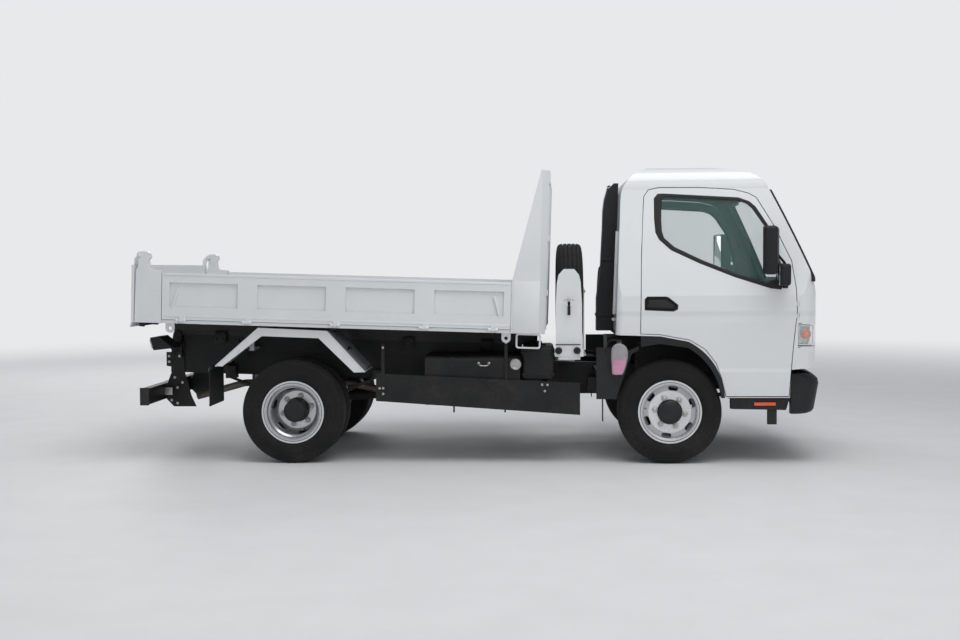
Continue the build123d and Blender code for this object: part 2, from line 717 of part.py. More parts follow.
# Bed floor with its side sills, cross members, long sills and hinge lugs
bed_front = headboard_front - headboard_wall
sill_outer = bed_half_width - 8
bed_members = (-2500, -2050, -1750, -1300, -850, -400, 0, 300)
lug_points = (-2290, 217)
tie_lug_radius = 34
step_half = 920
step_bar = 13
with BuildPart() as bed_floor:
    block(bed_rear, bed_front - seat_gap, floor_top - floor_thickness, floor_top,
          -sill_outer + 45, sill_outer - 45, bed_plane)
    for hand, s in hands:
        block(bed_rear + post_rear_width + 1, bed_front - 214, 0, sill_height,
              s * sill_outer, s * (sill_outer - 60), bed_plane)
        block(bed_rear, bed_front - seat_gap, 0, floor_top, s * (sill_outer - 60), s * (sill_outer - 45),
              bed_plane)
        with BuildSketch(bed_plane(max(s * step_half, s * (step_half + step_bar)))) as loop:
            with Locations((381, -56)):
                RectangleRounded(184, 112, 22)
                RectangleRounded(184 - 2 * step_bar, 112 - 2 * step_bar, 12, mode=Mode.SUBTRACT)
        extrude(loop.sketch, amount=step_bar)
        block(hinge_along + 40, bed_front - 10, subframe_top + seat_gap, 1,
              s * bed_sill_inner, s * bed_sill_outer, bed_plane)
        slab([(hinge_along - 30, hinge_up - 18), (hinge_along - 12, hinge_up - 32),
              (hinge_along + 14, hinge_up - 32), (hinge_along + 41, hinge_up + 1),
              (hinge_along + 41, 1), (hinge_along - 30, 1)],
             s * bed_sill_inner, s * bed_sill_outer, bed_plane)
        for along in lug_points:
            with BuildSketch(bed_plane(s * (sill_outer - 50) if s > 0 else s * (sill_outer - 62))) as lug:
                with Locations((along, -40)):
                    Circle(tie_lug_radius)
                with Locations((along, -20)):
                    Rectangle(2 * tie_lug_radius, 44)
                with Locations((along, -40)):
                    Circle(13, mode=Mode.SUBTRACT)
            extrude(lug.sketch, amount=12)
        cross_pin(hinge, hinge_pin_radius + running_gap, s * (bed_sill_inner - 1), s * (bed_sill_outer + 1),
                  Mode.SUBTRACT)
    for along in bed_members:
        block(along - 25, along + 25, floor_top - cross_depth - floor_thickness, floor_top - 1,
              -sill_outer + 58, sill_outer - 58, bed_plane)
    block(-1680, -1520, 0, floor_top - 1, -bed_sill_inner - 1, bed_sill_inner + 1, bed_plane)
    for hand, s in hands:
        slab([(bed_hoist_pin[0] - 40, 1060), (bed_hoist_pin[0] - 32, bed_hoist_pin[1] - 34),
              (bed_hoist_pin[0] + 32, bed_hoist_pin[1] - 34), (bed_hoist_pin[0] + 40, 1060)],
             s * hoist_ear[0], s * hoist_ear[1])
bed_floor.part.label = "bed_floor"
export_step(bed_floor.part, "parts/bed_floor.step")

# Headboard: a front wall with chamfered corners and two sloping wings
wing_rear = headboard_front - 251
wing_inner = bed_half_width - gate_thickness
with BuildPart() as headboard:
    with BuildSketch(Plane(origin=(0, 0, deck_z), x_dir=(cos_slope, 0, -sin_slope),
                           z_dir=(sin_slope, 0, cos_slope))) as plan:
        Polygon(
            (wing_rear, -bed_half_width),
            (headboard_front - headboard_chamfer, -bed_half_width),
            (headboard_front, -bed_half_width + headboard_chamfer),
            (headboard_front, bed_half_width - headboard_chamfer),
            (headboard_front - headboard_chamfer, bed_half_width),
            (wing_rear, bed_half_width),
            (wing_rear, wing_inner),
            (bed_front, wing_inner),
            (bed_front, -wing_inner),
            (wing_rear, -wing_inner),
            align=None,
        )
    extrude(plan.sketch, amount=headboard_top)
    slab([(wing_rear - 10, post_top), (wing_rear, post_top),
          (headboard_front - wing_top_width, headboard_top),
          (headboard_front - wing_top_width, headboard_top + 10), (wing_rear - 10, headboard_top + 10)],
         -bed_half_width - 1, bed_half_width + 1, bed_plane, Mode.SUBTRACT)
    for y in (-520, 0, 520):
        slab([(headboard_front - 1, 20), (headboard_front + 26, 60), (headboard_front + 26, 1100),
              (headboard_front - 1, 1150)], y - 30, y + 30, bed_plane)
headboard.part.label = "headboard"
export_step(headboard.part, "parts/headboard.step")

# Rear posts with rounded heads that carry the tailgate's pins
post_outline = [
    (bed_rear, 0), (bed_rear + post_rear_width, 0), (bed_rear + post_rear_width, post_top),
    (bed_rear + 118, post_top + 6), (bed_rear + 105, post_top + 30), (bed_rear + 100, post_top + 80),
    (bed_rear + 116, post_top + 100), (bed_rear + 108, post_top + 128), (bed_rear + 84, post_top + 141),
    (bed_rear + 56, post_top + 141), (bed_rear + 30, post_top + 138), (bed_rear + 12, post_top + 124),
    (bed_rear + 10, post_top + 92), (bed_rear + 24, post_top + 76), (bed_rear + 22, post_top + 20),
    (bed_rear + 8, post_top),
]
tailgate_pin = on_deck(tailgate_pin_along, tailgate_pin_up)
with BuildPart() as rear_posts:
    for hand, s in hands:
        slab(post_outline, s * bed_half_width, s * wing_inner, bed_plane)
        cross_pin(tailgate_pin, 12, s * (wing_inner - 34), s * (wing_inner + 2))
rear_posts.part.label = "rear_posts"
export_step(rear_posts.part, "parts/rear_posts.step")

# Side gates: pressed panels hinged at their lower outer edge
gate_start = bed_rear + post_rear_width + gate_clearance
gate_middle = gate_start + gate_length / 2 - gate_clearance / 2
gate_end = gate_start + gate_length - 2 * gate_clearance
gate_pin_half = bed_half_width + 12
gate_pin_up = gate_bottom - 4
gate_hinges = (-2185, -1695, -1041, -384, 122)
for hand, s in hands:
    with BuildPart() as gate:
        block(gate_start, gate_end, gate_bottom, gate_bottom + gate_height,
              s * bed_half_width, s * wing_inner, bed_plane)
        for index in range(gate_pressing_count):
            centre = gate_middle + (index - (gate_pressing_count - 1) / 2) * gate_pressing_pitch
            half = gate_pressing_length / 2
            low = gate_bottom + gate_pressing_low
            high = low + gate_pressing_height
            block(centre - half, centre + half, low, high,
                  s * (bed_half_width + 1), s * (bed_half_width - gate_pressing_depth), bed_plane, Mode.SUBTRACT)
        for along in gate_hinges:
            block(along - 16, along + 16, gate_pin_up - 9, gate_pin_up + 34,
                  s * (bed_half_width - 2), s * (gate_pin_half + 9), bed_plane)
            cross = on_deck(along - 20, gate_pin_up)
            with BuildSketch(Plane(origin=(cross[0], s * gate_pin_half, cross[1]), x_dir=(0, 1, 0),
                                   z_dir=(cos_slope, 0, -sin_slope))) as bore:
                Circle(5 + running_gap)
            extrude(bore.sketch, amount=40, mode=Mode.SUBTRACT)
    gate.part.label = f"gate_{hand}"
    export_step(gate.part, f"parts/gate_{hand}.step")

with BuildPart() as gate_hinge_pins:
    for hand, s in hands:
        for along in gate_hinges:
            for end in (-1, 1):
                middle = along + end * 27
                block(middle - 5, middle + 5, 2, gate_bottom - 0.5, s * (sill_outer + seat_gap), s * (gate_pin_half + 7),
                      bed_plane)
            cross = on_deck(along - 30, gate_pin_up)
            with BuildSketch(Plane(origin=(cross[0], s * gate_pin_half, cross[1]), x_dir=(0, 1, 0),
                                   z_dir=(cos_slope, 0, -sin_slope))) as pin:
                Circle(5)
            extrude(pin.sketch, amount=60)
gate_hinge_pins.part.label = "gate_hinge_pins"
export_step(gate_hinge_pins.part, "parts/gate_hinge_pins.step")

# Tailgate: a ribbed panel behind the posts, hung from arms on its top pins
tailgate_front = bed_rear - gate_clearance
tailgate_rear = tailgate_front - tailgate_thickness
with BuildPart() as tailgate:
    block(tailgate_front - 8, tailgate_front, 6, post_top + 40, -bed_half_width, bed_half_width, bed_plane)
    block(tailgate_rear, tailgate_front - 7, post_top + 6, post_top + 40, -bed_half_width, bed_half_width,
          bed_plane)
    slab([(tailgate_front, 6), (tailgate_rear, 6), (tailgate_rear - tailgate_lip, -34),
          (tailgate_rear - tailgate_lip + 8, -36),
          (tailgate_rear + 10, 0), (tailgate_front, 0)], -bed_half_width, bed_half_width, bed_plane)
    block(tailgate_rear, tailgate_front - 7, 5, 50, -bed_half_width, bed_half_width, bed_plane)
    for y in (-955, -480, 0, 480, 955):
        block(tailgate_rear, tailgate_front - 7, 40, post_top + 10, y - 25, y + 25, bed_plane)
    for hand, s in hands:
        slab([(tailgate_rear, post_top + 20), (tailgate_front, post_top + 20),
              (tailgate_front + 22, tailgate_pin_up - 22), (tailgate_pin_along + 16, tailgate_pin_up - 8),
              (tailgate_pin_along + 14, tailgate_pin_up + 14),
        (tailgate_pin_along - 14, tailgate_pin_up + 18),
              (tailgate_rear + 4, tailgate_pin_up - 20)],
             s * (wing_inner - 6), s * (wing_inner - 24), bed_plane)
        cross_pin(tailgate_pin, 12 + running_gap, s * (wing_inner - 5), s * (wing_inner - 25), Mode.SUBTRACT)
tailgate.part.label = "tailgate"
export_step(tailgate.part, "parts/tailgate.step")

# Cab outlines. The side outline runs round the cab from its lower rear corner.
nose_low_z = 712
roof_z = 2192
cab_wall_top = (1058, 1950)


def cab_side(inset):
    with BuildSketch(side_plane(1100)) as outline:
        with BuildLine():
            Line((cab_rear_x, cab_floor_z), cab_wall_top)
            ThreePointArc(cab_wall_top, (1098, 2072), (1200, roof_z - 34))
            ThreePointArc((1200, roof_z - 34), (1285, roof_z - 7), (1400, roof_z))
            ThreePointArc((1400, roof_z), (1680, roof_z - 6), (1960, 2148))
            ThreePointArc((1960, 2148), (2062, 2112), (2124, 2040))
            ThreePointArc((2124, 2040), (2336, 1610), (2452, 1350))
            ThreePointArc((2452, 1350), (2494, 1180), (2492, 1010))
            Line((2492, 1010), (2464, nose_low_z))
            Line((2464, nose_low_z), (2292, nose_low_z - 14))
            Line((2292, nose_low_z - 14), (2284, sill_z))
            Line((2284, sill_z), (1812, sill_z))
            ThreePointArc((1812, sill_z), (1738, 734), (1546, 906))
            Line((1546, 906), (1341, 945))
            Line((1341, 945), (cab_rear_x, cab_floor_z))
        make_face()
        if inset:
            offset(amount=-inset, kind=Kind.ARC, mode=Mode.REPLACE)
    return outline.sketch


def cab_front(inset):
    with BuildSketch(Plane(origin=(900, 0, 0), x_dir=(0, 1, 0), z_dir=(1, 0, 0))) as outline:
        with BuildLine():
            Polyline((0, 400), (932, 400), (cab_half_width, 1040), (cab_half_width, 1240), (882, 2020))
            ThreePointArc((882, 2020), (850, 2126), (740, 2182))
            ThreePointArc((740, 2182), (0, roof_z + 14), (-740, 2182))
            ThreePointArc((-740, 2182), (-850, 2126), (-882, 2020))
            Polyline((-882, 2020), (-cab_half_width, 1240), (-cab_half_width, 1040), (-932, 400), (0, 400))
        make_face()
        if inset:
            offset(amount=-inset, kind=Kind.ARC, mode=Mode.REPLACE)
    return outline.sketch


def cab_plan(inset):
    corner = 150
    with BuildSketch(Plane.XY.offset(300)) as outline:
        with BuildLine():
            Line((cab_rear_x - 2, 0), (cab_rear_x - 2, cab_half_width + 1 - 60))
            ThreePointArc((cab_rear_x - 2, cab_half_width + 1 - 60), (cab_rear_x + 16, cab_half_width - 17),
                          (cab_rear_x + 58, cab_half_width + 1))
            Line((cab_rear_x + 58, cab_half_width + 1), (cab_nose_x - corner, cab_half_width + 1))
            ThreePointArc((cab_nose_x - corner, cab_half_width + 1), (cab_nose_x - 46, cab_half_width - 43),
                          (cab_nose_x - 10, cab_half_width - 146))
            ThreePointArc((cab_nose_x - 10, cab_half_width - 146), (cab_nose_x, 0),
                          (cab_nose_x - 10, -cab_half_width + 146))
            ThreePointArc((cab_nose_x - 10, -cab_half_width + 146), (cab_nose_x - 46, -cab_half_width + 43),
                          (cab_nose_x - corner, -cab_half_width - 1))
            Line((cab_nose_x - corner, -cab_half_width - 1), (cab_rear_x + 58, -cab_half_width - 1))
            ThreePointArc((cab_rear_x + 58, -cab_half_width - 1), (cab_rear_x + 16, -cab_half_width + 17),
                          (cab_rear_x - 2, -cab_half_width - 1 + 60))
            Line((cab_rear_x - 2, -cab_half_width - 1 + 60), (cab_rear_x - 2, 0))
        make_face()
        if inset:
            offset(amount=-inset, kind=Kind.ARC, mode=Mode.REPLACE)
    return outline.sketch


def cab_body(inset):
    """The cab's outer form, drawn in by the inset on every side."""
    with BuildPart() as body:
        extrude(cab_side(inset), amount=2200)
        extrude(cab_front(inset), amount=1800, mode=Mode.INTERSECT)
        extrude(cab_plan(inset), amount=2000, mode=Mode.INTERSECT)
        block(1500, 2420 + inset, 300, channel_top + inset, -channel_half - inset, channel_half + inset,
              mode=Mode.SUBTRACT)
        cross_pin((front_axle_x, tyre_radius), wheelhouse_radius + inset, -wheelhouse_half - inset,
                  wheelhouse_half + inset, Mode.SUBTRACT)
    return body.part


door_outline = [
    (1230, 1966), (1262, 2012), (1338, 2030), (1626, 2028), (1878, 2011), (1985, 1984), (2043, 1952),
    (2165, 1749), (2288, 1492), (2318, 1300), (2326, 1134), (2299, 843), (2276, 504), (1824, 504),
    (1790, 640), (1752, 746), (1672, 850), (1556, 920), (1341, 960), (1201, 966), (1209, 1502),
        (1222, 1829),
]
window_outline = [
    (1303, 1800), (1303, 1950), (1330, 1984), (1374, 1986), (1914, 1953), (1990, 1925), (2036, 1886),
    (2129, 1742), (2226, 1430), (2228, 1306), (2210, 1284), (2132, 1294), (1880, 1375), (1628, 1478),
    (1425, 1574), (1339, 1647), (1312, 1700),
]


def door_prism(grow, outline=None):
    """The door's outline, grown by the shut gap, as a bar through the cab's side walls."""
    with BuildPart() as prism:
        with BuildSketch(side_plane(1050)) as shape:
            Polygon(*(outline or door_outline), align=None)
            if grow:
                offset(amount=grow, kind=Kind.ARC, mode=Mode.REPLACE)
        extrude(shape.sketch, amount=2100)
        extrude(cab_front(cab_wall), amount=1800, mode=Mode.SUBTRACT)
    return prism.part


def hinge_pins(radius, mode=Mode.ADD):
    """The door hinges' pins, or the room for them, on both sides of the cab."""
    for low, high in door_pins:
        with BuildSketch(Plane.XY.offset(low)) as pins:
            with Locations((door_hinge_x, -cab_half_width - door_hinge_out),
                           (door_hinge_x, cab_half_width + door_hinge_out)):
                Circle(radius)
        extrude(pins.sketch, amount=high - low, mode=mode)


def glass_layer():
    """A thin shell that lies inside the cab's skin."""
    with BuildPart() as layer:
        add(cab_body(glass_inset))
        add(cab_body(glass_inset + glass_thickness), mode=Mode.SUBTRACT)
    return layer.part


windscreen = [(-835, 1340), (835, 1340), (842, 1420), (760, 1960), (720, 2010), (-720, 2010), (-760, 1960),
              (-842, 1420)]
rear_window = [(-560, 1420), (560, 1420), (600, 1460), (580, 1830), (540, 1870), (-540, 1870), (-580, 1830),
               (-600, 1460)]
grille = [(-600, 800), (600, 800), (640, 860), (640, 1060), (600, 1090), (-600, 1090), (-640, 1060),
          (-640, 860)]
lamp_box = (2336, 2600, 868, 1030, 660, 1010)


def front_prism(points, x_a, x_b, shrink=0):
    """A bar along X with an outline of (Y, Z) points."""
    with BuildPart() as prism:
        with BuildSketch(Plane(origin=(x_a, 0, 0), x_dir=(0, 1, 0), z_dir=(1, 0, 0))) as shape:
            Polygon(*points, align=None)
            if shrink:
                offset(amount=-shrink, kind=Kind.ARC, mode=Mode.REPLACE)
        extrude(shape.sketch, amount=x_b - x_a)
    return prism.part


outer_body = cab_body(0)
inner_body = cab_body(cab_wall)
grille_depth = 24
lamp_depth = 38
glass_form = glass_layer()

with BuildPart() as grille_recess:
    add(front_prism(grille, 2300, 2700))
    add(cab_body(grille_depth + seat_gap), mode=Mode.SUBTRACT)

# Cab shell: skin, floor, wheel arches and roof in one pressing, with its openings cut
with BuildPart() as cab_shell:
    add(outer_body)
    add(inner_body, mode=Mode.SUBTRACT)
    add(door_prism(door_gap), mode=Mode.SUBTRACT)
    add(front_prism(windscreen, 1900, 2700), mode=Mode.SUBTRACT)
    add(front_prism(rear_window, 900, 1300), mode=Mode.SUBTRACT)
    add(grille_recess.part, mode=Mode.SUBTRACT)
    for hand, s in hands:
        x_a, x_b, z_a, z_b, y_a, y_b = lamp_box
        block(x_a, x_b, z_a, z_b, s * y_a, s * y_b, mode=Mode.SUBTRACT)
        slab([(2426, cab_pivot[1] - 14), (2464, cab_pivot[1] - 14), (2464, channel_top + 60),
              (2400, channel_top + 60), (2400, channel_top - 10)], s * 354, s * 374)
        cross_pin(cab_pivot, 12 + running_gap, s * 353, s * 375, Mode.SUBTRACT)
    hinge_pins(door_pin_radius + door_pin_room, Mode.SUBTRACT)
cab_shell.part.label = "cab_shell"
export_step(cab_shell.part, "parts/cab_shell.step")

# Windscreen and rear window, set inside the skin
with BuildPart() as cab_glass:
    add(glass_form)
    add(front_prism(windscreen, 1900, 2700, seat_gap), mode=Mode.INTERSECT)
with BuildPart() as back_glass:
    add(glass_form)
    add(front_prism(rear_window, 900, 1300, seat_gap), mode=Mode.INTERSECT)
with BuildPart() as windows:
    add(cab_glass.part)
    add(back_glass.part)
windows.part.label = "cab_glass"
export_step(windows.part, "parts/cab_glass.step")

# Grille: a dark slatted panel in the nose
slat_pitch = 46
with BuildPart() as front_panel:
    add(outer_body)
    add(cab_body(grille_depth), mode=Mode.SUBTRACT)
    add(front_prism(grille, 2300, 2700, seat_gap), mode=Mode.INTERSECT)
    for index in range(5):
        z = 830 + index * slat_pitch
        for y_a, y_b in ((-560, -20), (20, 560)):
            block(2300, 2700, z, z + 18, y_a, y_b, mode=Mode.SUBTRACT)
front_panel.part.label = "front_panel"
export_step(front_panel.part, "parts/front_panel.step")

# Headlamps wrap round the nose's corners
with BuildPart() as lamp_bars:
    for hand, s in hands:
        x_a, x_b, z_a, z_b, y_a, y_b = lamp_box
        block(x_a + 0.5, x_b, z_a + 0.5, z_b - 0.5, s * (y_a + 0.5), s * y_b)
with BuildPart() as headlamps:
    add(outer_body)
    add(cab_body(lamp_depth), mode=Mode.SUBTRACT)
    add(lamp_bars.part, mode=Mode.INTERSECT)
headlamps.part.label = "headlamps"
export_step(headlamps.part, "parts/headlamps.step")

# Doors: the skin and frame inside the door's outline, the window cut, the pull recess pressed in
handle_outline = [(1232, 1140), (1440, 1130), (1466, 1145), (1468, 1172), (1400, 1226), (1380, 1232),
                  (1250, 1232),
                  (1232, 1214)]
door_blank = door_prism(0)
window_bar = door_prism(0, window_outline)
window_bar_small = door_prism(-seat_gap, window_outline)
with BuildPart() as both_doors:
    add(outer_body)
    add(door_blank, mode=Mode.INTERSECT)
    add(window_bar, mode=Mode.SUBTRACT)
    for hand, s in hands:
        slab(handle_outline, s * (cab_half_width - 22), s * (cab_half_width + 20), mode=Mode.SUBTRACT)
        for low, high in door_pins:
            block(door_hinge_x - 30, door_hinge_x, low, high, s * (cab_half_width - door_pin_radius + 2.5),
                  s * (cab_half_width + 1))
    hinge_pins(door_pin_radius)
with BuildPart() as both_panes:
    add(glass_form)
    add(window_bar_small, mode=Mode.INTERSECT)
for hand, s in hands:
    with BuildPart() as door:
        add([solid for solid in both_doors.part.solids() if solid.center().Y * s > 0])
    door.part.label = f"door_{hand}"
    export_step(door.part, f"parts/door_{hand}.step")
    with BuildPart() as pane:
        add([solid for solid in both_panes.part.solids() if solid.center().Y * s > 0])
    pane.part.label = f"door_glass_{hand}"
    export_step(pane.part, f"parts/door_glass_{hand}.step")

# Mirrors: two bent arms off the door's front edge, a tall head and a small round one
mirror_y = 1095
for hand, s in hands:
    with BuildPart() as mirrors:
        with BuildSketch(Plane.XY.offset(1392)) as head:
            with Locations((2121, s * mirror_y)):
                RectangleRounded(112, 176, 30)
        extrude(head.sketch, amount=350)
        with BuildSketch(Plane.XY.offset(1312)) as small_head:
            with Locations((2211, s * (mirror_y - 20))):
                RectangleRounded(82, 110, 24)
        extrude(small_head.sketch, amount=158)
        for arm_x, arm_y_start, arm_z in ((2244, 958.5, 1316), (2240, 945.5, 1440)):
            with BuildLine() as arm_route:
                FilletPolyline((arm_x, s * arm_y_start, arm_z),
                               (arm_x - 6, s * (mirror_y - 60), arm_z + 10),
                               (2130, s * (mirror_y - 20), arm_z + 130), radius=24)
            with BuildSketch(Plane(origin=arm_route.line @ 0, z_dir=arm_route.line % 0)) as bar:
                Circle(11)
            sweep(bar.sketch, path=arm_route.line)
    mirrors.part.label = f"mirrors_{hand}"
    export_step(mirrors.part, f"parts/mirrors_{hand}.step")

# Dashboard with the steering column, across the front of the cab
dash_half = 840
column_base = (2190, 440, 1080)
column_head = (1905, 440, 1260)
column_axis = Vector(*column_head) - Vector(*column_base)
column_plane = Plane(origin=column_base, x_dir=(0, 1, 0), z_dir=column_axis)
with BuildPart() as dashboard:
    slab([(2060, 1010), (2400, 1010), (2410, 1290), (2290, 1300), (2130, 1290), (2070, 1240), (2040, 1120)],
         -dash_half, dash_half)
    with BuildSketch(side_plane(600)) as binnacle:
        Polygon((2050, 1230), (2240, 1290), (2220, 1350), (2120, 1352), (2060, 1300), align=None)
    extrude(binnacle.sketch, amount=320)
    with BuildSketch(column_plane) as column:
        Circle(36)
    extrude(column.sketch, amount=column_axis.length - 34 - running_gap)
    block(2340, 2452.6, 1020, 1060, -240, 240)
dashboard.part.label = "dashboard"
export_step(dashboard.part, "parts/dashboard.step")

wheel_centre = column_plane.offset(column_axis.length)
with BuildPart() as steering_wheel:
    with BuildSketch(Plane(origin=wheel_centre.origin, x_dir=wheel_centre.x_dir,
                           z_dir=wheel_centre.y_dir)) as grip:
        with Locations((205, 0)):
            Circle(14)
    revolve(grip.sketch, axis=Axis(wheel_centre.origin, wheel_centre.z_dir))
    with BuildSketch(wheel_centre.offset(-34)) as boss:
        Circle(58)
    extrude(boss.sketch, amount=30)
    with BuildSketch(wheel_centre.offset(-16)) as spokes:
        with Locations((0, 0)):
            Rectangle(404, 34)
        with Locations((0, -100)):
            Rectangle(34, 204)
    extrude(spokes.sketch, amount=14)
steering_wheel.part.label = "steering_wheel"
export_step(steering_wheel.part, "parts/steering_wheel.step")

# Seats: middle Y, width
seat_rows = ((500, 500), (0, 420), (-480, 480))
with BuildPart() as seats:
    for middle, width in seat_rows:
        with BuildSketch(side_plane(middle + width / 2)) as seat:
            Polygon((1180, 990.5), (1345.4, 985.4), (1490, 958.2), (1640, 1010), (1640, 1090),
                    (1610, 1130), (1330, 1122), (1290, 1180),
                    (1190, 1640), (1150, 1660), (1110, 1640), (1180, 1160), align=None)
        extrude(seat.sketch, amount=width)
        block(1104, 1164, 1690, 1850, middle - 120, middle + 120)
        block(1126, 1142, 1640, 1692, middle - 60, middle - 46)
        block(1126, 1142, 1640, 1692, middle + 46, middle + 60)
seats.part.label = "seats"
export_step(seats.part, "parts/seats.step")

# Air intake duct up the back of the cab
duct_low = 972
duct_flat_top = 1940
wall_slope = (cab_wall_top[0] - cab_rear_x) / (cab_wall_top[1] - cab_floor_z)
duct_front = [(cab_rear_x + wall_slope * (z - cab_floor_z) - seat_gap, z) for z in (duct_low, duct_flat_top)]
duct_outline = duct_front + [(1062, 2083), (1027, 2084), (985, 2040), (962, 1960), (951, 1872),
                             (928, 1431), (898, 1220), (896, duct_low)]
duct_half = (475, 625)
louvre_count = 14
with BuildPart() as intake_duct:
    slab(duct_outline, -duct_half[0], -duct_half[1])
    for index in range(louvre_count):
        z = 1752 + index * 21
        block(940, 975, z, z + 9, -duct_half[0] - 12, -duct_half[1] + 12, mode=Mode.SUBTRACT)
intake_duct.part.label = "intake_duct"
export_step(intake_duct.part, "parts/intake_duct.step")

# Dark arch trims under the cab's wheel arches
with BuildPart() as arch_trims:
    with BuildSketch(side_plane(-905)) as band:
        with BuildLine():
            Line((1545, 905.5), (1341, 944.5))
            Line((1341, 944.5), (1205, 948))
            Line((1205, 948), (1205, 868))
            Line((1205, 868), (1343, 890))
            Line((1343, 890), (1545, 860))
            ThreePointArc((1545, 860), (1708, 708), (1789, sill_z))
            Line((1789, sill_z), (1811.4, sill_z))
            ThreePointArc((1811.4, sill_z), (1737.6, 733.6), (1545, 905.5))
        make_face()
    extrude(band.sketch, amount=50)
    mirror(about=Plane.XZ)
arch_trims.part.label = "arch_trims"
export_step(arch_trims.part, "parts/arch_trims.step")

# Front bumper: a hollow moulding that wraps round the corners
bumper_sections = ((370, 76), (380, 50), (400, 34), (500, 16), (590, 0), (625, 8), (648, 32), (664, 76))
with BuildPart() as bumper:
    for z, setback in bumper_sections:
        with BuildSketch(Plane.XY.offset(z)) as section:
            with BuildLine():
                Line((2300, -guard_half), (2400 - setback, -guard_half))
                ThreePointArc((2400 - setback, -guard_half), (2484 - setback, -guard_half + 36),
                              (2525 - setback, -guard_half + 120))
                ThreePointArc((2525 - setback, -guard_half + 120), (2575 - setback, 0),
                              (2525 - setback, guard_half - 120))
                ThreePointArc((2525 - setback, guard_half - 120), (2484 - setback, guard_half - 36),
                              (2400 - setback, guard_half))
                Line((2400 - setback, guard_half), (2300, guard_half))
                Line((2300, guard_half), (2300, -guard_half))
            make_face()
    loft(ruled=True)
    block(2200, bumper_inner, 300, 700, -guard_half + 60, guard_half - 60, mode=Mode.SUBTRACT)
    block(2400, 2600, 440, 520, -330, 330, mode=Mode.SUBTRACT)
    for hand, s in hands:
        block(2462, 2600, 470, 560, s * 600, s * 760, mode=Mode.SUBTRACT)
bumper.part.label = "bumper"
export_step(bumper.part, "parts/bumper.step")

# Step panels under the doors, with their lamps' blocks
with BuildPart() as cab_steps:
    slab([(1865, 486), (2292, 486), (2265, 398), (1865, 406)], -guard_half, -guard_half + 60)
    block(1900, 2260, 420, 440, -guard_half + 59, -620)
    for x in (2070, 2210):
        block(x - 15, x + 15, 420, 530, -rail_half - seat_gap, -640)
    block(2134, 2200, 291, 404, -guard_half + 10, -guard_half + 40)
    mirror(about=Plane.XZ)
cab_steps.part.label = "cab_steps"
export_step(cab_steps.part, "parts/cab_steps.step")
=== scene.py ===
# %% [markdown]
# A light dump truck, dressed for the studio. The solids come from the packed
# model and stay where they are. This script gives them paint, rubber and glass,
# and adds what a plain solid lacks: tread, seams, hinges, bolts, lamps and seats.
# Outlines are written in millimetres, the way they were measured, and the helper
# functions turn them into Blender's metres. X points forward, Y to the truck's
# left and Z up.

# %% Load the frame
import bpy
import math
from mathutils import Matrix, Vector


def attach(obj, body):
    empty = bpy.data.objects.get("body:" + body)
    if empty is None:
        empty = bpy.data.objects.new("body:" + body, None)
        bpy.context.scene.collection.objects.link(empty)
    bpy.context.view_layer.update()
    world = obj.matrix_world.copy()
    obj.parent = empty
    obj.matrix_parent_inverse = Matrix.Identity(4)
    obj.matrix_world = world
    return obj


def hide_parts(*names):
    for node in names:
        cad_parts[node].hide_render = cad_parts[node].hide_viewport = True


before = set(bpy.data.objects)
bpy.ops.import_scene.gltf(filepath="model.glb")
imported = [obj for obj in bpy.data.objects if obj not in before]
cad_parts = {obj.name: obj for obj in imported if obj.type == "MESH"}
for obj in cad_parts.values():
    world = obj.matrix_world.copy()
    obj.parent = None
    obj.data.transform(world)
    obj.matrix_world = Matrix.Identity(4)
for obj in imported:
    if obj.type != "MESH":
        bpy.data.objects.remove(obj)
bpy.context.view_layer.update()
MM = 0.001
hands = (("R", -1), ("L", 1))

# %% [markdown]
# The camera stands where the photographer stood: about ten metres off the right
# side, a little lower than the roof, with a slightly long lens. The place and the
# turns were worked out from the wheels and the bed's corners, so they are written
# as numbers and nothing is aimed by eye.

# %% The camera
camera_place = (0.412, -9.6764, 1.4462)
camera_lens = 44.64
camera_yaw = math.radians(2.533)
camera_pitch = math.radians(2.469)
camera_roll = math.radians(-0.332)
ahead = Vector((-math.sin(camera_yaw) * math.cos(camera_pitch),
                math.cos(camera_yaw) * math.cos(camera_pitch), -math.sin(camera_pitch)))
level = Vector((math.cos(camera_yaw), math.sin(camera_yaw), 0))
above = level.cross(ahead)
right = level * math.cos(camera_roll) + above * math.sin(camera_roll)
upward = -level * math.sin(camera_roll) + above * math.cos(camera_roll)
bpy.ops.object.camera_add(location=camera_place)
camera = bpy.context.object
camera.rotation_euler = Matrix((right, upward, -ahead)).transposed().to_euler()
camera.data.lens = camera_lens
camera.data.sensor_width = 36
bpy.context.scene.camera = camera
print("camera looks along", [round(value, 3) for value in ahead])

# %% [markdown]
# The background, the effects and the finishes are all trees of nodes. They could be
# wired one link at a time, but a few short helpers that make a node, fill in its
# inputs and do sums let each finish read as a recipe.

# %% Helpers for trees of nodes


def feed(tree, socket, value):
    """Link a socket to another one, or give it a plain value."""
    if isinstance(value, bpy.types.NodeSocket):
        tree.links.new(value, socket)
    elif value is not None:
        socket.default_value = value


def fill_in(tree, node, **values):
    """Feed a node's inputs by name. An underscore stands for a space."""
    for label, value in values.items():
        feed(tree, node.inputs[label.replace("_", " ")], value)
    return node


def made(tree, kind, **values):
    """A new shader node of a kind, with its inputs fed."""
    return fill_in(tree, tree.nodes.new("ShaderNode" + kind), **values)


def math_node(tree, operation, first, second=None, clamp=False):
    node = made(tree, "Math")
    node.operation = operation
    node.use_clamp = clamp
    feed(tree, node.inputs[0], first)
    feed(tree, node.inputs[1], second)
    return node.outputs[0]


def times(tree, first, second, clamp=False):
    return math_node(tree, "MULTIPLY", first, second, clamp)


def plus(tree, first, second, clamp=False):
    return math_node(tree, "ADD", first, second, clamp)


def minus(tree, first, second, clamp=False):
    return math_node(tree, "SUBTRACT", first, second, clamp)


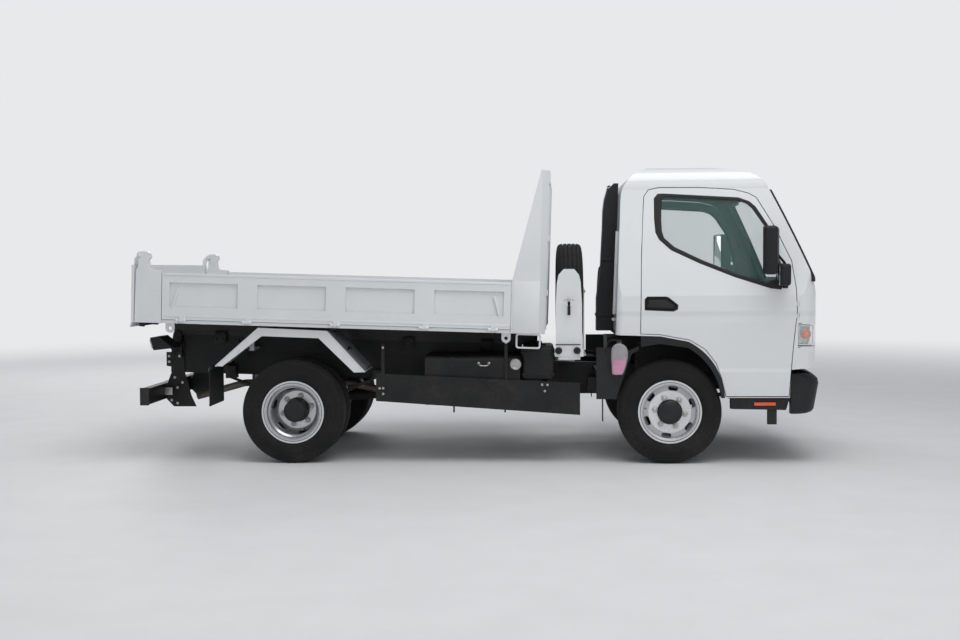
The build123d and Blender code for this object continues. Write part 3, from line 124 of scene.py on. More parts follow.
def vector_node(tree, operation, *vectors):
    node = made(tree, "VectorMath")
    node.operation = operation
    for socket, vector in zip(node.inputs, vectors):
        feed(tree, socket, vector)
    return node.outputs


def apart(tree, vector):
    """The X, Y and Z of a vector, each as a value."""
    return made(tree, "SeparateXYZ", Vector=vector).outputs


def mix_colours(tree, factor, first, second):
    node = made(tree, "Mix")
    node.data_type = "RGBA"
    for index, value in ((0, factor), (6, first), (7, second)):
        feed(tree, node.inputs[index], value)
    return node.outputs[2]


def mix_shaders(tree, factor, first, second):
    node = made(tree, "MixShader")
    for socket, value in zip(node.inputs, (factor, first, second)):
        feed(tree, socket, value)
    return node.outputs[0]


def ramp_node(tree, value, low, high):
    """Stretch a value so that low becomes 0 and high becomes 1, softly."""
    node = made(tree, "MapRange", Value=value, From_Min=low, From_Max=high)
    node.interpolation_type = "SMOOTHSTEP"
    return node.outputs["Result"]


def noise_node(tree, scale, detail=4, roughness=0.55, stretch=None):
    """Noise on the piece's own coordinates, stretched where a Mapping is asked for."""
    place = made(tree, "TexCoord").outputs["Object"]
    if stretch:
        place = made(tree, "Mapping", Scale=stretch, Vector=place).outputs[0]
    noise = made(tree, "TexNoise", Scale=scale, Detail=detail, Roughness=roughness, Vector=place)
    return noise.outputs["Fac"]


def bump_node(tree, height, depth, normal=None, strength=1.0):
    """Turn a height into a normal, on top of an earlier one. The depth is in metres."""
    bump = made(tree, "Bump", Strength=strength, Distance=depth, Height=height, Normal=normal)
    return bump.outputs["Normal"]


def tinted(colour, share):
    """The colour made darker or lighter, with a full alpha."""
    return tuple(min(1, part * share) for part in colour[:3]) + (1,)


# %% [markdown]
# Studio light is soft and plain, so that a colour renders about as it is written.
# One large lamp overhead and in front gives the shine on the cab, a wide one on
# the camera's side fills the flank, and the world lights the rest evenly. The pale
# background is the world's own colour, seen by the camera and through glass only,
# because black parts that mirrored it would look grey.

# %% Lights, floor and background
background_shade = (0.80, 0.815, 0.83, 1)
even_light = (0.93, 0.96, 1.0, 1)
even_strength = 0.36


def soft_lamp(name, place, target, size, watts):
    bpy.ops.object.light_add(type="AREA", location=place)
    lamp = bpy.context.object
    lamp.name = name
    lamp.data.size = size
    lamp.data.energy = watts
    lamp.rotation_euler = (Vector(target) - Vector(place)).to_track_quat("-Z", "Y").to_euler()
    return lamp


soft_lamp("lamp_overhead", (1.5, -3.5, 8.5), (0, 0, 0.8), 6, 370)
soft_lamp("lamp_flank", (3.5, -9.0, 4.5), (0.2, 0, 1.0), 5, 80)
soft_lamp("lamp_far", (-5.0, 7.5, 5.5), (0, 0, 1.0), 6, 220)

studio = bpy.data.worlds.new("studio")
bpy.context.scene.world = studio
studio.use_nodes = True
sky = studio.node_tree
sky.nodes.clear()
rays = made(sky, "LightPath").outputs
seen = math_node(sky, "MAXIMUM", rays["Is Camera Ray"], rays["Is Transmission Ray"])
even = made(sky, "Background", Color=even_light, Strength=even_strength).outputs[0]
backdrop = made(sky, "Background", Color=background_shade, Strength=1.0).outputs[0]
made(sky, "OutputWorld", Surface=mix_shaders(sky, seen, even, backdrop))
bpy.context.scene.view_settings.view_transform = "Standard"

bpy.ops.mesh.primitive_plane_add(size=90)
floor = bpy.context.object
floor.name = "studio_floor"
print("lamps and a floor of", round(floor.dimensions.x), "metres")

# %% [markdown]
# Most finishes share a few effects: dust that settles low down, a worn bright
# edge, a fine grain and a long soft waviness of pressed sheet. Each effect is a
# node group, built once, and every material places the groups it needs with its
# own values. The groups put out colours, masks and heights, never a shader.

# %% Node groups for dust, wear, grain and waviness


def node_group(name, takes, gives):
    """An empty shader group, with what comes in and the node that takes what goes out."""
    group = bpy.data.node_groups.new(name, "ShaderNodeTree")
    kinds = {"colour": "NodeSocketColor", "value": "NodeSocketFloat", "normal": "NodeSocketVector"}
    for label, kind, default in takes:
        socket = group.interface.new_socket(name=label, in_out="INPUT", socket_type=kinds[kind])
        socket.default_value = default
    for label, kind in gives:
        group.interface.new_socket(name=label, in_out="OUTPUT", socket_type=kinds[kind])
    return group, group.nodes.new("NodeGroupInput").outputs, group.nodes.new("NodeGroupOutput")


def road_dust():
    tree, taken, given = node_group("road_dust", [
        ("Colour", "colour", (0.8, 0.8, 0.8, 1)), ("Dust Colour", "colour", (0.42, 0.37, 0.31, 1)),
        ("Amount", "value", 0.3), ("Reach", "value", 1.2)], [("Colour", "colour"), ("Mask", "value")])
    surface = made(tree, "TexCoord").outputs
    height_share = math_node(tree, "DIVIDE", apart(tree, surface["Object"])["Z"], taken["Reach"])
    low_down = minus(tree, 1.15, height_share, clamp=True)
    ledge = times(tree, ramp_node(tree, apart(tree, surface["Normal"])["Z"], 0.3, 0.95), 0.55)
    broad = ramp_node(tree, noise_node(tree, 3.2, 6), 0.3, 0.75)
    fine = ramp_node(tree, noise_node(tree, 46, 3), 0.25, 0.8)
    patches = times(tree, broad, plus(tree, fine, 0.35))
    mask = times(tree, times(tree, plus(tree, low_down, ledge), patches), taken["Amount"], clamp=True)
    dusted = mix_colours(tree, mask, taken["Colour"], taken["Dust Colour"])
    fill_in(tree, given, Colour=dusted, Mask=mask)
    return tree


def worn_edge():
    tree, taken, given = node_group("worn_edge", [("Width", "value", 0.003), ("Amount", "value", 0.5)],
                                    [("Mask", "value"), ("Normal", "normal")])
    rounded = made(tree, "Bevel", Radius=taken["Width"])
    rounded.samples = 4
    plain = made(tree, "NewGeometry").outputs["Normal"]
    likeness = vector_node(tree, "DOT_PRODUCT", rounded.outputs[0], plain)["Value"]
    edge_line = ramp_node(tree, minus(tree, 1.0, likeness), 0.05, 0.28)
    chips = ramp_node(tree, noise_node(tree, 60, 5), 0.46, 0.66)
    mask = times(tree, times(tree, edge_line, chips), taken["Amount"], clamp=True)
    fill_in(tree, given, Mask=mask, Normal=rounded.outputs[0])
    return tree


def fine_grain():
    tree, taken, given = node_group("fine_grain", [("Scale", "value", 400)],
                                    [("Height", "value"), ("Mask", "value")])
    noise = noise_node(tree, taken["Scale"], 3)
    pores = made(tree, "TexVoronoi", Vector=made(tree, "TexCoord").outputs["Object"], Scale=taken["Scale"])
    fill_in(tree, given, Height=plus(tree, noise, pores.outputs["Distance"]), Mask=noise)
    return tree


def sheet_waviness():
    tree, taken, given = node_group("sheet_waviness", [("Scale", "value", 2.5)], [("Height", "value")])
    fill_in(tree, given, Height=noise_node(tree, taken["Scale"], 1, 0.4))
    return tree


dust_group, wear_group, grain_group, wave_group = road_dust(), worn_edge(), fine_grain(), sheet_waviness()
print("shared effects:", [group.name for group in bpy.data.node_groups])

# %% [markdown]
# Two masks belong to certain pieces. Where faces shelter each other the colour is
# darkened, as painted shade broken up into streaks, and an occlusion node finds those
# corners. A pressed wheel is painted darker in the ring between its rim and its disc,
# partly as brake dust and partly as painted shade, with a thin painted shadow line at
# the rim's step, which is a matter of the distance from the axle.

# %% Masks for painted shade in corners and on the wheels


def painted_corner_shade():
    tree, taken, given = node_group("painted_corner_shade", [("Reach", "value", 0.05), ("Amount", "value", 0.5)],
                                    [("Mask", "value")])
    shelter = made(tree, "AmbientOcclusion", Distance=taken["Reach"])
    shelter.samples = 4
    shelter.only_local = True
    # The occluded share, broken into streaks, is the mask of painted shade in the corners.
    hidden = ramp_node(tree, minus(tree, 1.0, shelter.outputs["AO"]), 0.25, 0.85)
    streaks = ramp_node(tree, noise_node(tree, 24, 4), 0.1, 0.8)
    fill_in(tree, given, Mask=times(tree, times(tree, hidden, streaks), taken["Amount"], clamp=True))
    return tree


def wheel_rings():
    tree, taken, given = node_group("wheel_rings", [
        ("Front", "value", 1.42), ("Rear", "value", -1.38), ("Hub Height", "value", 0.383)],
        [("Recess", "value"), ("Line", "value")])
    place = apart(tree, made(tree, "TexCoord").outputs["Object"])
    in_front = math_node(tree, "GREATER_THAN", place["X"], 0.0)
    span = minus(tree, taken["Front"], taken["Rear"])
    along = minus(tree, place["X"], plus(tree, taken["Rear"], times(tree, span, in_front)))
    upwards = minus(tree, place["Z"], taken["Hub Height"])
    squares = plus(tree, math_node(tree, "POWER", along, 2), math_node(tree, "POWER", upwards, 2))
    distance = math_node(tree, "SQRT", squares)
    rings = {}
    # The recess ring is darkened partly as brake dust and partly as painted shade; the thin line near the rim
    # is a painted shadow at the step.
    borders = (("Recess", (0.153, 0.160), (0.204, 0.214)), ("Line", (0.212, 0.216), (0.219, 0.223)))
    for name, near, far in borders:
        inside_far = minus(tree, 1.0, ramp_node(tree, distance, *far))
        rings[name] = times(tree, ramp_node(tree, distance, *near), inside_far)
    fill_in(tree, given, **rings)
    return tree


corner_group, ring_group = painted_corner_shade(), wheel_rings()

# %% [markdown]
# The cab's shell and doors have two more looks: black sealing under the floor and
# in the wheel arches, and a dull lining on whatever faces the driver, its near-black
# colour partly the lining's own tone and partly painted shade inside the cab. Both
# masks come from the place and the direction of the surface on the piece itself, so
# they stay put when a door opens or the cab tilts.

# %% Masks for the cab's underside and lining


def cab_zones():
    tree, taken, given = node_group("cab_zones", [("Half Width", "value", 0.905), ("Top", "value", 0.985)],
                                    [("Under", "value"), ("Inside", "value")])
    surface = made(tree, "TexCoord").outputs
    place = apart(tree, surface["Object"])
    under = math_node(tree, "LESS_THAN", math_node(tree, "ABSOLUTE", place["Y"]), taken["Half Width"])
    under = times(tree, under, math_node(tree, "LESS_THAN", place["Z"], taken["Top"]))
    under = times(tree, under, math_node(tree, "LESS_THAN", place["X"], 2.4))
    from_middle = vector_node(tree, "SUBTRACT", surface["Object"], (1.75, 0, 1.35))
    outward = vector_node(tree, "NORMALIZE", from_middle["Vector"])
    turned_in = vector_node(tree, "DOT_PRODUCT", outward["Vector"], surface["Normal"])
    fill_in(tree, given, Under=under, Inside=math_node(tree, "LESS_THAN", turned_in["Value"], -0.2))
    return tree


zone_group = cab_zones()

# %% [markdown]
# One recipe makes every hard finish: a colour with slow variation, painted shade in
# sheltered corners where it is asked for, chips on the edges that show what lies
# underneath, dust over it all, and bump. What differs from paint to rubber is only the
# values, so they are written further down, one call for each finish.

# %% The recipe for hard finishes
# The lining colour is near black: the trim's own dark tone with painted shade inside the cab.
lining_and_inner_shade = (0.05, 0.056, 0.062, 1)
sealing_shade = (0.014, 0.014, 0.015, 1)


def place_group(tree, group, **values):
    node = made(tree, "Group")
    node.node_tree = group
    return fill_in(tree, node, **values).outputs


def new_material(name):
    material = bpy.data.materials.new(name)
    material.use_nodes = True
    return material, material.node_tree, material.node_tree.nodes["Principled BSDF"]


def hard_finish(name, colour, rough, metal=0.0, coat=0.0, vary=0.06, dust=0.2, reach=1.2,
                dust_colour=(0.40, 0.36, 0.31, 1), wear=0.0, under=(0.25, 0.23, 0.21, 1), grain=400,
                grain_depth=0.0, wave_depth=0.0, edge=0.0025, sheen=0.0, zones=False, corner_shade=0.0,
                rings=False, shine=0.5, belly=0.0):
    material, tree, shader = new_material(name)
    slow = ramp_node(tree, noise_node(tree, 2.6, 5), 0.25, 0.75)
    shade = mix_colours(tree, slow, (*colour, 1), tinted(colour, 1 - vary * 2))
    # Wheels: the recess ring is painted shade mixed with brake dust, and the line is a painted shadow at the
    # rim's step.
    if rings:
        circle = place_group(tree, ring_group)
        shade = mix_colours(tree, times(tree, circle["Recess"], 0.42), shade, (0.10, 0.105, 0.115, 1))
        shade = mix_colours(tree, times(tree, circle["Line"], 0.8), shade, (0.05, 0.05, 0.055, 1))
    # Painted shade in sheltered corners, in a dark tone of the dust colour.
    if corner_shade:
        corners = place_group(tree, corner_group, Amount=corner_shade)
        shade = mix_colours(tree, corners["Mask"], shade, tinted(dust_colour, 0.3))
    worn = place_group(tree, wear_group, Width=edge, Amount=wear)
    shade = mix_colours(tree, worn["Mask"], shade, under)
    dullness = rough
    if zones:
        zone = place_group(tree, zone_group)
        # Faces turned to the cab's middle take the lining colour, which carries painted shade.
        shade = mix_colours(tree, zone["Inside"], shade, lining_and_inner_shade)
        shade = mix_colours(tree, zone["Under"], shade, sealing_shade)
        either = math_node(tree, "MAXIMUM", zone["Inside"], zone["Under"])
        dullness = plus(tree, times(tree, either, 0.45), rough)
        coat = times(tree, minus(tree, 1.0, either), coat)
    if belly:
        zone = place_group(tree, zone_group, Half_Width=belly, Top=9.0)
        shade = mix_colours(tree, zone["Under"], shade, sealing_shade)
        dullness = plus(tree, times(tree, zone["Under"], 0.2), rough)
    dusty = place_group(tree, dust_group, Colour=shade, Dust_Colour=dust_colour, Amount=dust, Reach=reach)
    fine = place_group(tree, grain_group, Scale=grain)
    smear = times(tree, minus(tree, fine["Mask"], 0.5), 0.12)
    dulled = times(tree, dusty["Mask"], 0.5)
    roughness = plus(tree, plus(tree, smear, dullness), dulled, clamp=True)
    normal = worn["Normal"]
    if grain_depth:
        normal = bump_node(tree, fine["Height"], grain_depth, normal, 0.6)
    if zones:
        height = apart(tree, made(tree, "TexCoord").outputs["Object"])["Z"]
        creases = minus(tree, ramp_node(tree, height, 1.085, 1.135), ramp_node(tree, height, 0.675, 0.715))
        normal = bump_node(tree, creases, 0.007, normal)
    if wave_depth:
        swell = place_group(tree, wave_group, Scale=2.5)
        normal = bump_node(tree, swell["Height"], wave_depth, normal)
    fill_in(tree, shader, Base_Color=dusty["Colour"], Roughness=roughness, Metallic=metal, Coat_Weight=coat,
            Coat_Roughness=0.06, Sheen_Weight=sheen, Specular_IOR_Level=shine, Normal=normal)
    return material


# %% [markdown]
# The values of each finish. Paint has a clear coat and little dust. Black parts are
# kept dark and dull, so that they don't turn grey under the lamps. Wheels get a dark
# ring, partly brake dust and partly painted shade, and painted shade in their corners,
# and only worn parts show what lies under the paint.

# %% The hard finishes
cab_paint = hard_finish(
    "cab_white_paint", (0.80, 0.822, 0.835), 0.26, coat=0.5, vary=0.012, dust=0.08, reach=0.9,
    dust_colour=(0.55, 0.50, 0.44, 1), grain=900, grain_depth=0.00004, wave_depth=0.004, zones=True)
bed_paint = hard_finish(
    "bed_white_paint", (0.80, 0.82, 0.835), 0.36, coat=0.25, vary=0.02, dust=0.11, reach=1.6,
    dust_colour=(0.52, 0.48, 0.42, 1), wear=0.35, under=(0.45, 0.43, 0.40, 1), grain=700,
    grain_depth=0.00008, wave_depth=0.006, corner_shade=0.4)
bed_frame_paint = hard_finish(
    "bed_frame_paint", (0.80, 0.82, 0.835), 0.36, coat=0.1, vary=0.02, dust=0.11, reach=1.6, grain=700,
    grain_depth=0.00008, belly=0.905)
chassis_paint = hard_finish(
    "chassis_black_paint", (0.014, 0.0145, 0.016), 0.42, vary=0.15, dust=0.16, reach=1.3,
    dust_colour=(0.17, 0.155, 0.135, 1), wear=0.5, under=(0.12, 0.10, 0.08, 1), grain=300,
    grain_depth=0.0003, shine=0.3)
black_moulding = hard_finish(
    "black_moulding", (0.018, 0.019, 0.021), 0.5, vary=0.12, dust=0.12, reach=1.1,
    dust_colour=(0.19, 0.175, 0.155, 1), grain=1200, grain_depth=0.00025, edge=0.004, shine=0.3)
tyre_rubber = hard_finish(
    "tyre_rubber", (0.016, 0.016, 0.017), 0.72, vary=0.15, dust=0.16, reach=0.7,
    dust_colour=(0.15, 0.135, 0.115, 1), grain=500, grain_depth=0.0003, sheen=0.05, shine=0.16)
wheel_paint = hard_finish(
    "wheel_silver_paint", (0.82, 0.83, 0.85), 0.24, metal=0.62, coat=0.3, vary=0.06, dust=0.1,
    reach=0.9, dust_colour=(0.26, 0.235, 0.20, 1), wear=0.12, grain=800, grain_depth=0.0001, corner_shade=0.6,
    rings=True)
bare_steel = hard_finish(
    "bare_steel", (0.52, 0.51, 0.50), 0.36, metal=0.9, vary=0.12, dust=0.25,
    dust_colour=(0.20, 0.15, 0.10, 1), grain=900, grain_depth=0.0001)
dull_exhaust = hard_finish(
    "exhaust_steel", (0.30, 0.27, 0.24), 0.55, metal=0.7, vary=0.25, dust=0.5,
    dust_colour=(0.22, 0.14, 0.08, 1), grain=260, grain_depth=0.0004)
rough_casting = hard_finish(
    "rough_casting", (0.03, 0.03, 0.031), 0.62, metal=0.3, vary=0.2, dust=0.25,
    dust_colour=(0.17, 0.15, 0.125, 1), wear=0.2, grain=220, grain_depth=0.0009)
spring_paint = hard_finish(
    "spring_paint", (0.03, 0.03, 0.031), 0.5, metal=0.4, vary=0.2, dust=0.3,
    dust_colour=(0.17, 0.14, 0.11, 1), wear=0.6, under=(0.20, 0.13, 0.08, 1), grain=350, grain_depth=0.0004)
seal_rubber = hard_finish(
    "seal_rubber", (0.012, 0.012, 0.013), 0.62, vary=0.1, dust=0.08, grain=900, grain_depth=0.0001)
dash_moulding = hard_finish(
    "dash_grey_moulding", (0.15, 0.155, 0.16), 0.6, vary=0.05, dust=0.04, grain=1500, grain_depth=0.0002,
    edge=0.004)
trim_lining = hard_finish(
    "pale_lining", (0.50, 0.50, 0.485), 0.8, vary=0.04, dust=0.0, grain=1300, grain_depth=0.0003, sheen=0.2)
rod_chrome = hard_finish(
    "hoist_rod_chrome", (0.72, 0.73, 0.74), 0.12, metal=1.0, vary=0.03, dust=0.08, grain=500)
zinc_plate = hard_finish(
    "zinc_plate", (0.62, 0.61, 0.58), 0.36, metal=0.7, vary=0.1, dust=0.12, grain=700, grain_depth=0.0001)
mirror_silver = hard_finish(
    "mirror_silver", (0.78, 0.80, 0.81), 0.03, metal=1.0, vary=0.0, dust=0.04, grain=300)
lamp_silver = hard_finish(
    "lamp_silver", (0.82, 0.83, 0.84), 0.14, metal=1.0, vary=0.02, dust=0.0, grain=300)
print("hard finishes:", len(bpy.data.materials))

# %% [markdown]
# The studio's floor is matt, and far from the truck it fades into the background.
# A hard horizon line would draw the eye, so the paint is mixed with a plain glow of
# the background's colour over the distance from the middle.

# %% The floor's finish
floor_paint = hard_finish(
    "studio_floor_paint", (0.84, 0.845, 0.85), 0.6, vary=0.02, dust=0.0, grain=60, grain_depth=0.0004,
    edge=0.0001)
floor.data.materials.append(floor_paint)
floor_tree = floor_paint.node_tree
distance = vector_node(floor_tree, "LENGTH", made(floor_tree, "TexCoord").outputs["Object"])["Value"]
glow = made(floor_tree, "Emission", Color=background_shade).outputs[0]
faded = mix_shaders(floor_tree, ramp_node(floor_tree, distance, 5, 17),
                    floor_tree.nodes["Principled BSDF"].outputs[0], glow)
fill_in(floor_tree, floor_tree.nodes["Material Output"], Surface=faded)

# %% [markdown]
# Window and lamp glass is thin and mostly seen through. It is made see-through
# with the shader's alpha and keeps a hard gloss, which lets the light into the
# cab, as a real pane does, and stays simple to carry into other programs.

# %% Glass and lenses
pane_dust = (0.5, 0.47, 0.42, 1)


def clear_finish(name, colour, alpha, rough=0.03, glow=0.0, ripple=0.0, coat=0.6):
    material, tree, shader = new_material(name)
    slow = ramp_node(tree, noise_node(tree, 5, 3), 0.3, 0.7)
    shade = mix_colours(tree, slow, (*colour, 1), tinted(colour, 0.82))
    dusty = place_group(tree, dust_group, Colour=shade, Dust_Colour=pane_dust, Amount=0.07, Reach=1.4)
    smear = times(tree, dusty["Mask"], 0.6)
    fill_in(tree, shader, Base_Color=dusty["Colour"], Roughness=plus(tree, smear, rough, clamp=True),
            Alpha=plus(tree, smear, alpha, clamp=True), Coat_Weight=coat, Coat_Roughness=0.02)
    # A faint emission in the lens colour is a painted glow: the lenses look lit, and the side reflectors that
    # share it are no lamps.
    if glow:
        fill_in(tree, shader, Emission_Color=(*colour, 1), Emission_Strength=glow)
    if ripple:
        flutes = made(tree, "TexWave", Scale=60, Vector=made(tree, "TexCoord").outputs["Object"])
        flutes.bands_direction = "Z"
        fill_in(tree, shader, Normal=bump_node(tree, flutes.outputs["Fac"], ripple))
    return material


window_glass = clear_finish("green_window_glass", (0.20, 0.40, 0.36), 0.14)
lamp_glass = clear_finish("clear_lamp_glass", (0.80, 0.84, 0.86), 0.22, 0.04)
# The amber, orange and red lenses below carry that painted glow.
amber_lens = clear_finish("amber_lens", (0.95, 0.22, 0.015), 0.94, 0.16, 0.12, 0.0008)
orange_lens = clear_finish("orange_side_lens", (0.90, 0.10, 0.01), 0.96, 0.18, 0.15, 0.0006)
red_lens = clear_finish("red_lens", (0.62, 0.015, 0.012), 0.95, 0.16, 0.08, 0.0008)
white_lens = clear_finish("white_lens", (0.78, 0.78, 0.78), 0.9, 0.16, 0.0, 0.0008)
milky_bottle = clear_finish("milky_bottle", (0.82, 0.82, 0.84), 0.34, 0.3, coat=0.1)
pink_fluid = clear_finish("pink_fluid", (0.86, 0.10, 0.42), 0.94, 0.2, coat=0.1)

# %% [markdown]
# Each solid takes the finish of what it is made of. The table names them all, so
# that a solid which is added later and forgotten here stops the script.

# %% Finishes of the solids
solid_finish = {
    cab_paint: "cab_shell door_R door_L",
    bed_frame_paint: "bed_floor",
    bed_paint: "headboard rear_posts gate_hinge_pins gate_R gate_L tailgate rear_fenders spare_carrier",
    chassis_paint: "frame subframe fuel_tank side_guards rear_guard tie_rod hoist_barrel tail_lamps",
    black_moulding: "battery_box mud_flaps splash_guards bumper cab_steps front_panel intake_duct arch_trims "
                    "mirrors_R mirrors_L",
    rough_casting: "engine rear_axle front_axle knuckle_R knuckle_L",
    spring_paint: "leaf_springs",
    dull_exhaust: "exhaust",
    tyre_rubber: "front_tyre_R front_tyre_L rear_tyres_R rear_tyres_L spare_tyre",
    wheel_paint: "front_rim_R front_rim_L rear_rims_R rear_rims_L spare_rim",
    window_glass: "cab_glass door_glass_R door_glass_L",
    lamp_glass: "headlamps",
    milky_bottle: "washer_bottle",
    dash_moulding: "dashboard steering_wheel",
    trim_lining: "seats",
    rod_chrome: "hoist_rod",
}
undressed = set(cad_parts)
for finish, names in solid_finish.items():
    for name in names.split():
        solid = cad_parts[name]
        solid.data.materials.clear()
        solid.data.materials.append(finish)
        undressed.discard(name)
assert not undressed, undressed
print("finishes set on", len(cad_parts), "solids")

# %% [markdown]
# Now the modelling helpers. Nearly everything on a truck is cut from sheet or
# turned, so two starts are enough: a filled ring of corners that is moved to the
# outline and extruded, and an open ring that is spun round an axle. Both begin as
# Blender's circle, which has its corners in order. Edges are softened last, as
# every real edge is.

# %% Helpers that shape a piece
slope = math.radians(1.9)
deck_height = 980


def on_deck(along, up):
    """Millimetres along and above the sloping deck, as X and Z."""
    return (along * math.cos(slope) + up * math.sin(slope), deck_height - along * math.sin(slope) + up
        * math.cos(slope))


def wake(piece):
    bpy.ops.object.select_all(action="DESELECT")
    piece.select_set(True)
    bpy.context.view_layer.objects.active = piece


def soften(piece, edge, steps=2, angle=35):
    if edge:
        wake(piece)
        bevel = piece.modifiers.new("edge", "BEVEL")
        bevel.width = edge * MM
        bevel.segments = steps
        bevel.limit_method = "ANGLE"
        bevel.angle_limit = math.radians(angle)
        bpy.ops.object.modifier_apply(modifier="edge")
    return piece


def spread(points, plane, level):
    """Flat points as points in space, in metres. The plane's name gives their two axes."""
    where = {"xz": lambda u, v: (u, level, v), "yz": lambda u, v: (level, u, v), "xy": lambda u,
        v: (u, v, level), "deck": lambda u, v: (on_deck(u, v)[0], level, on_deck(u, v)[1])}
    return [Vector(where[plane](u, v)) * MM for u, v in points]


def outline_ring(points, plane, level, fill="NOTHING"):
    """Blender's circle with its corners moved to the outline."""
    bpy.ops.object.select_all(action="DESELECT")
    bpy.ops.mesh.primitive_circle_add(vertices=len(points), radius=1, fill_type=fill)
    piece = bpy.context.object
    for vertex, place in zip(piece.data.vertices, spread(points, plane, level)):
        vertex.co = place
    return piece


def pulled(piece, plane, start, stop, edge, steps=2):
    """Extrude the flat piece along its third axis, face it outwards and soften its edges."""
    travel = spread([(0, 0)], plane, stop)[0] - spread([(0, 0)], plane, start)[0]
    bpy.ops.object.mode_set(mode="EDIT")
    bpy.ops.mesh.select_all(action="SELECT")
    bpy.ops.mesh.extrude_region_move(TRANSFORM_OT_translate={"value": travel})
    bpy.ops.mesh.select_all(action="SELECT")
    bpy.ops.mesh.normals_make_consistent(inside=False)
    bpy.ops.object.mode_set(mode="OBJECT")
    return soften(piece, edge, steps)


def plate(points, start, stop, edge=1.5, plane="xz", steps=2):
    """A plate with the given outline, from start to stop along the third axis."""
    return pulled(outline_ring(points, plane, start, "NGON"), plane, start, stop, edge, steps)


def box(u_a, u_b, v_a, v_b):
    """The corners of a rectangle, in order."""
    return [(u_a, v_a), (u_b, v_a), (u_b, v_b), (u_a, v_b)]


def block(u_a, u_b, v_a, v_b, start, stop, edge=1.5, plane="xz", steps=2):
    return plate(box(u_a, u_b, v_a, v_b), start, stop, edge, plane, steps)


def turned(profile, centre, axis=(0, 1, 0), steps=48, edge=0):
    """A ring of (along, radius) corners, spun once round the axis through the centre."""
    bpy.ops.object.select_all(action="DESELECT")
    bpy.ops.mesh.primitive_circle_add(vertices=len(profile), radius=1, fill_type="NOTHING")
    piece = bpy.context.object
    axle = Vector(axis).normalized()
    side = axle.cross(Vector((1, 0, 0))) if abs(axle.x) < 0.9 else axle.cross(Vector((0, 1, 0)))
    middle = Vector(centre) * MM
    for vertex, (along, radius) in zip(piece.data.vertices, profile):
        vertex.co = middle + axle * along * MM + side.normalized() * radius * MM
    bpy.ops.object.mode_set(mode="EDIT")
    bpy.ops.mesh.select_all(action="SELECT")
    bpy.ops.mesh.spin(steps=steps, angle=2 * math.pi, center=middle, axis=axle)
    bpy.ops.mesh.select_all(action="SELECT")
    bpy.ops.mesh.remove_doubles(threshold=0.00002)
    bpy.ops.mesh.dissolve_degenerate()
    bpy.ops.mesh.select_all(action="SELECT")
    bpy.ops.mesh.delete_loose()
    bpy.ops.mesh.select_all(action="SELECT")
    bpy.ops.mesh.normals_make_consistent(inside=False)
    bpy.ops.object.mode_set(mode="OBJECT")
    return soften(piece, edge)


def tube(points, radius, sides=3, order=3):
    """A bent bar or pipe along rounded runs, made a closed mesh."""
    line = bpy.data.curves.new("tube", "CURVE")
    line.dimensions = "3D"
    run = line.splines.new("NURBS")
    run.points.add(len(points) - 1)
    for point, place in zip(run.points, points):
        point.co = (*(Vector(place) * MM), 1)
    run.order_u = min(order, len(points))
    run.use_endpoint_u = True
    line.resolution_u = 6
    line.bevel_depth = radius * MM
    line.bevel_resolution = sides
    line.use_fill_caps = True
    piece = bpy.data.objects.new("tube", line)
    bpy.context.collection.objects.link(piece)
    wake(piece)
    bpy.ops.object.convert(target="MESH")
    return bpy.context.object


def twin(piece):
    """A copy with a mesh of its own."""
    other = piece.copy()
    other.data = piece.data.copy()
    bpy.context.collection.objects.link(other)
    return other


def moved(piece, offset=(0, 0, 0), turn=0, axis="Y", centre=(0, 0, 0)):
    """Turn the mesh round a centre and shift it, in degrees and millimetres."""
    hub = Vector(centre) * MM
    piece.data.transform(Matrix.Translation(Vector(offset) * MM + hub) @ Matrix.Rotation(math.radians(turn),
        4, axis) @ Matrix.Translation(-hub))
    return piece


def mirrored(piece):
    other = twin(piece)
    other.data.transform(Matrix.Scale(-1, 4, (0, 1, 0)))
    other.data.flip_normals()
    return other


def joined(parts):
    bpy.ops.object.select_all(action="DESELECT")
    for part in parts:
        part.select_set(True)
    bpy.context.view_layer.objects.active = parts[0]
    if len(parts) > 1:
        bpy.ops.object.join()
    return bpy.context.view_layer.objects.active


def dress(parts, name, body, finish, smooth=35):
    """Join the parts into one named piece with its finish, and let it ride."""
    piece = joined(list(parts))
    piece.name = name
    piece.data.name = name
    piece.data.materials.clear()
    piece.data.materials.append(finish)
    for face in piece.data.polygons:
        face.material_index = 0
    wake(piece)
    bpy.ops.object.shade_smooth_by_angle(angle=math.radians(smooth))
    print(f"{name}: {len(piece.data.polygons)} faces")
    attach(piece, body)
    return piece


def dress_pair(parts, name, body, finish, smooth=35):
    """The right-hand parts as one piece, and their mirror image on the left."""
    right_side = joined(list(parts))
    left_side = mirrored(right_side)
    if "{hand}" not in body:
        return [dress([right_side, left_side], name, body, finish, smooth)]
    return [dress([piece], f"{name}_{hand}", body.format(hand=hand), finish, smooth)
        for piece, hand in ((right_side, "R"), (left_side, "L"))]


# %% [markdown]
# Bolts hold everything on a truck, and bare plates without them look like toys.
# One bolt is modelled once, a chamfered hexagon on its washer, and then copied to
# every place, turned to face the way its plate does.

# %% One bolt, copied


def hexagon(u, v, radius):
    return [(u + radius * math.cos(k * math.pi / 3), v + radius * math.sin(k * math.pi / 3))
        for k in range(6)]


def model_bolt():
    head = plate(hexagon(0, 0, 10), 1.5, 9, 0, "xy")
    soften(head, 1.2, 1, 60)
    washer = turned([(0, 0), (0, 13), (2, 13), (2, 0)], (0, 0, 0), (0, 0, 1), steps=14)
    return joined([head, washer])


bolt_master = model_bolt()


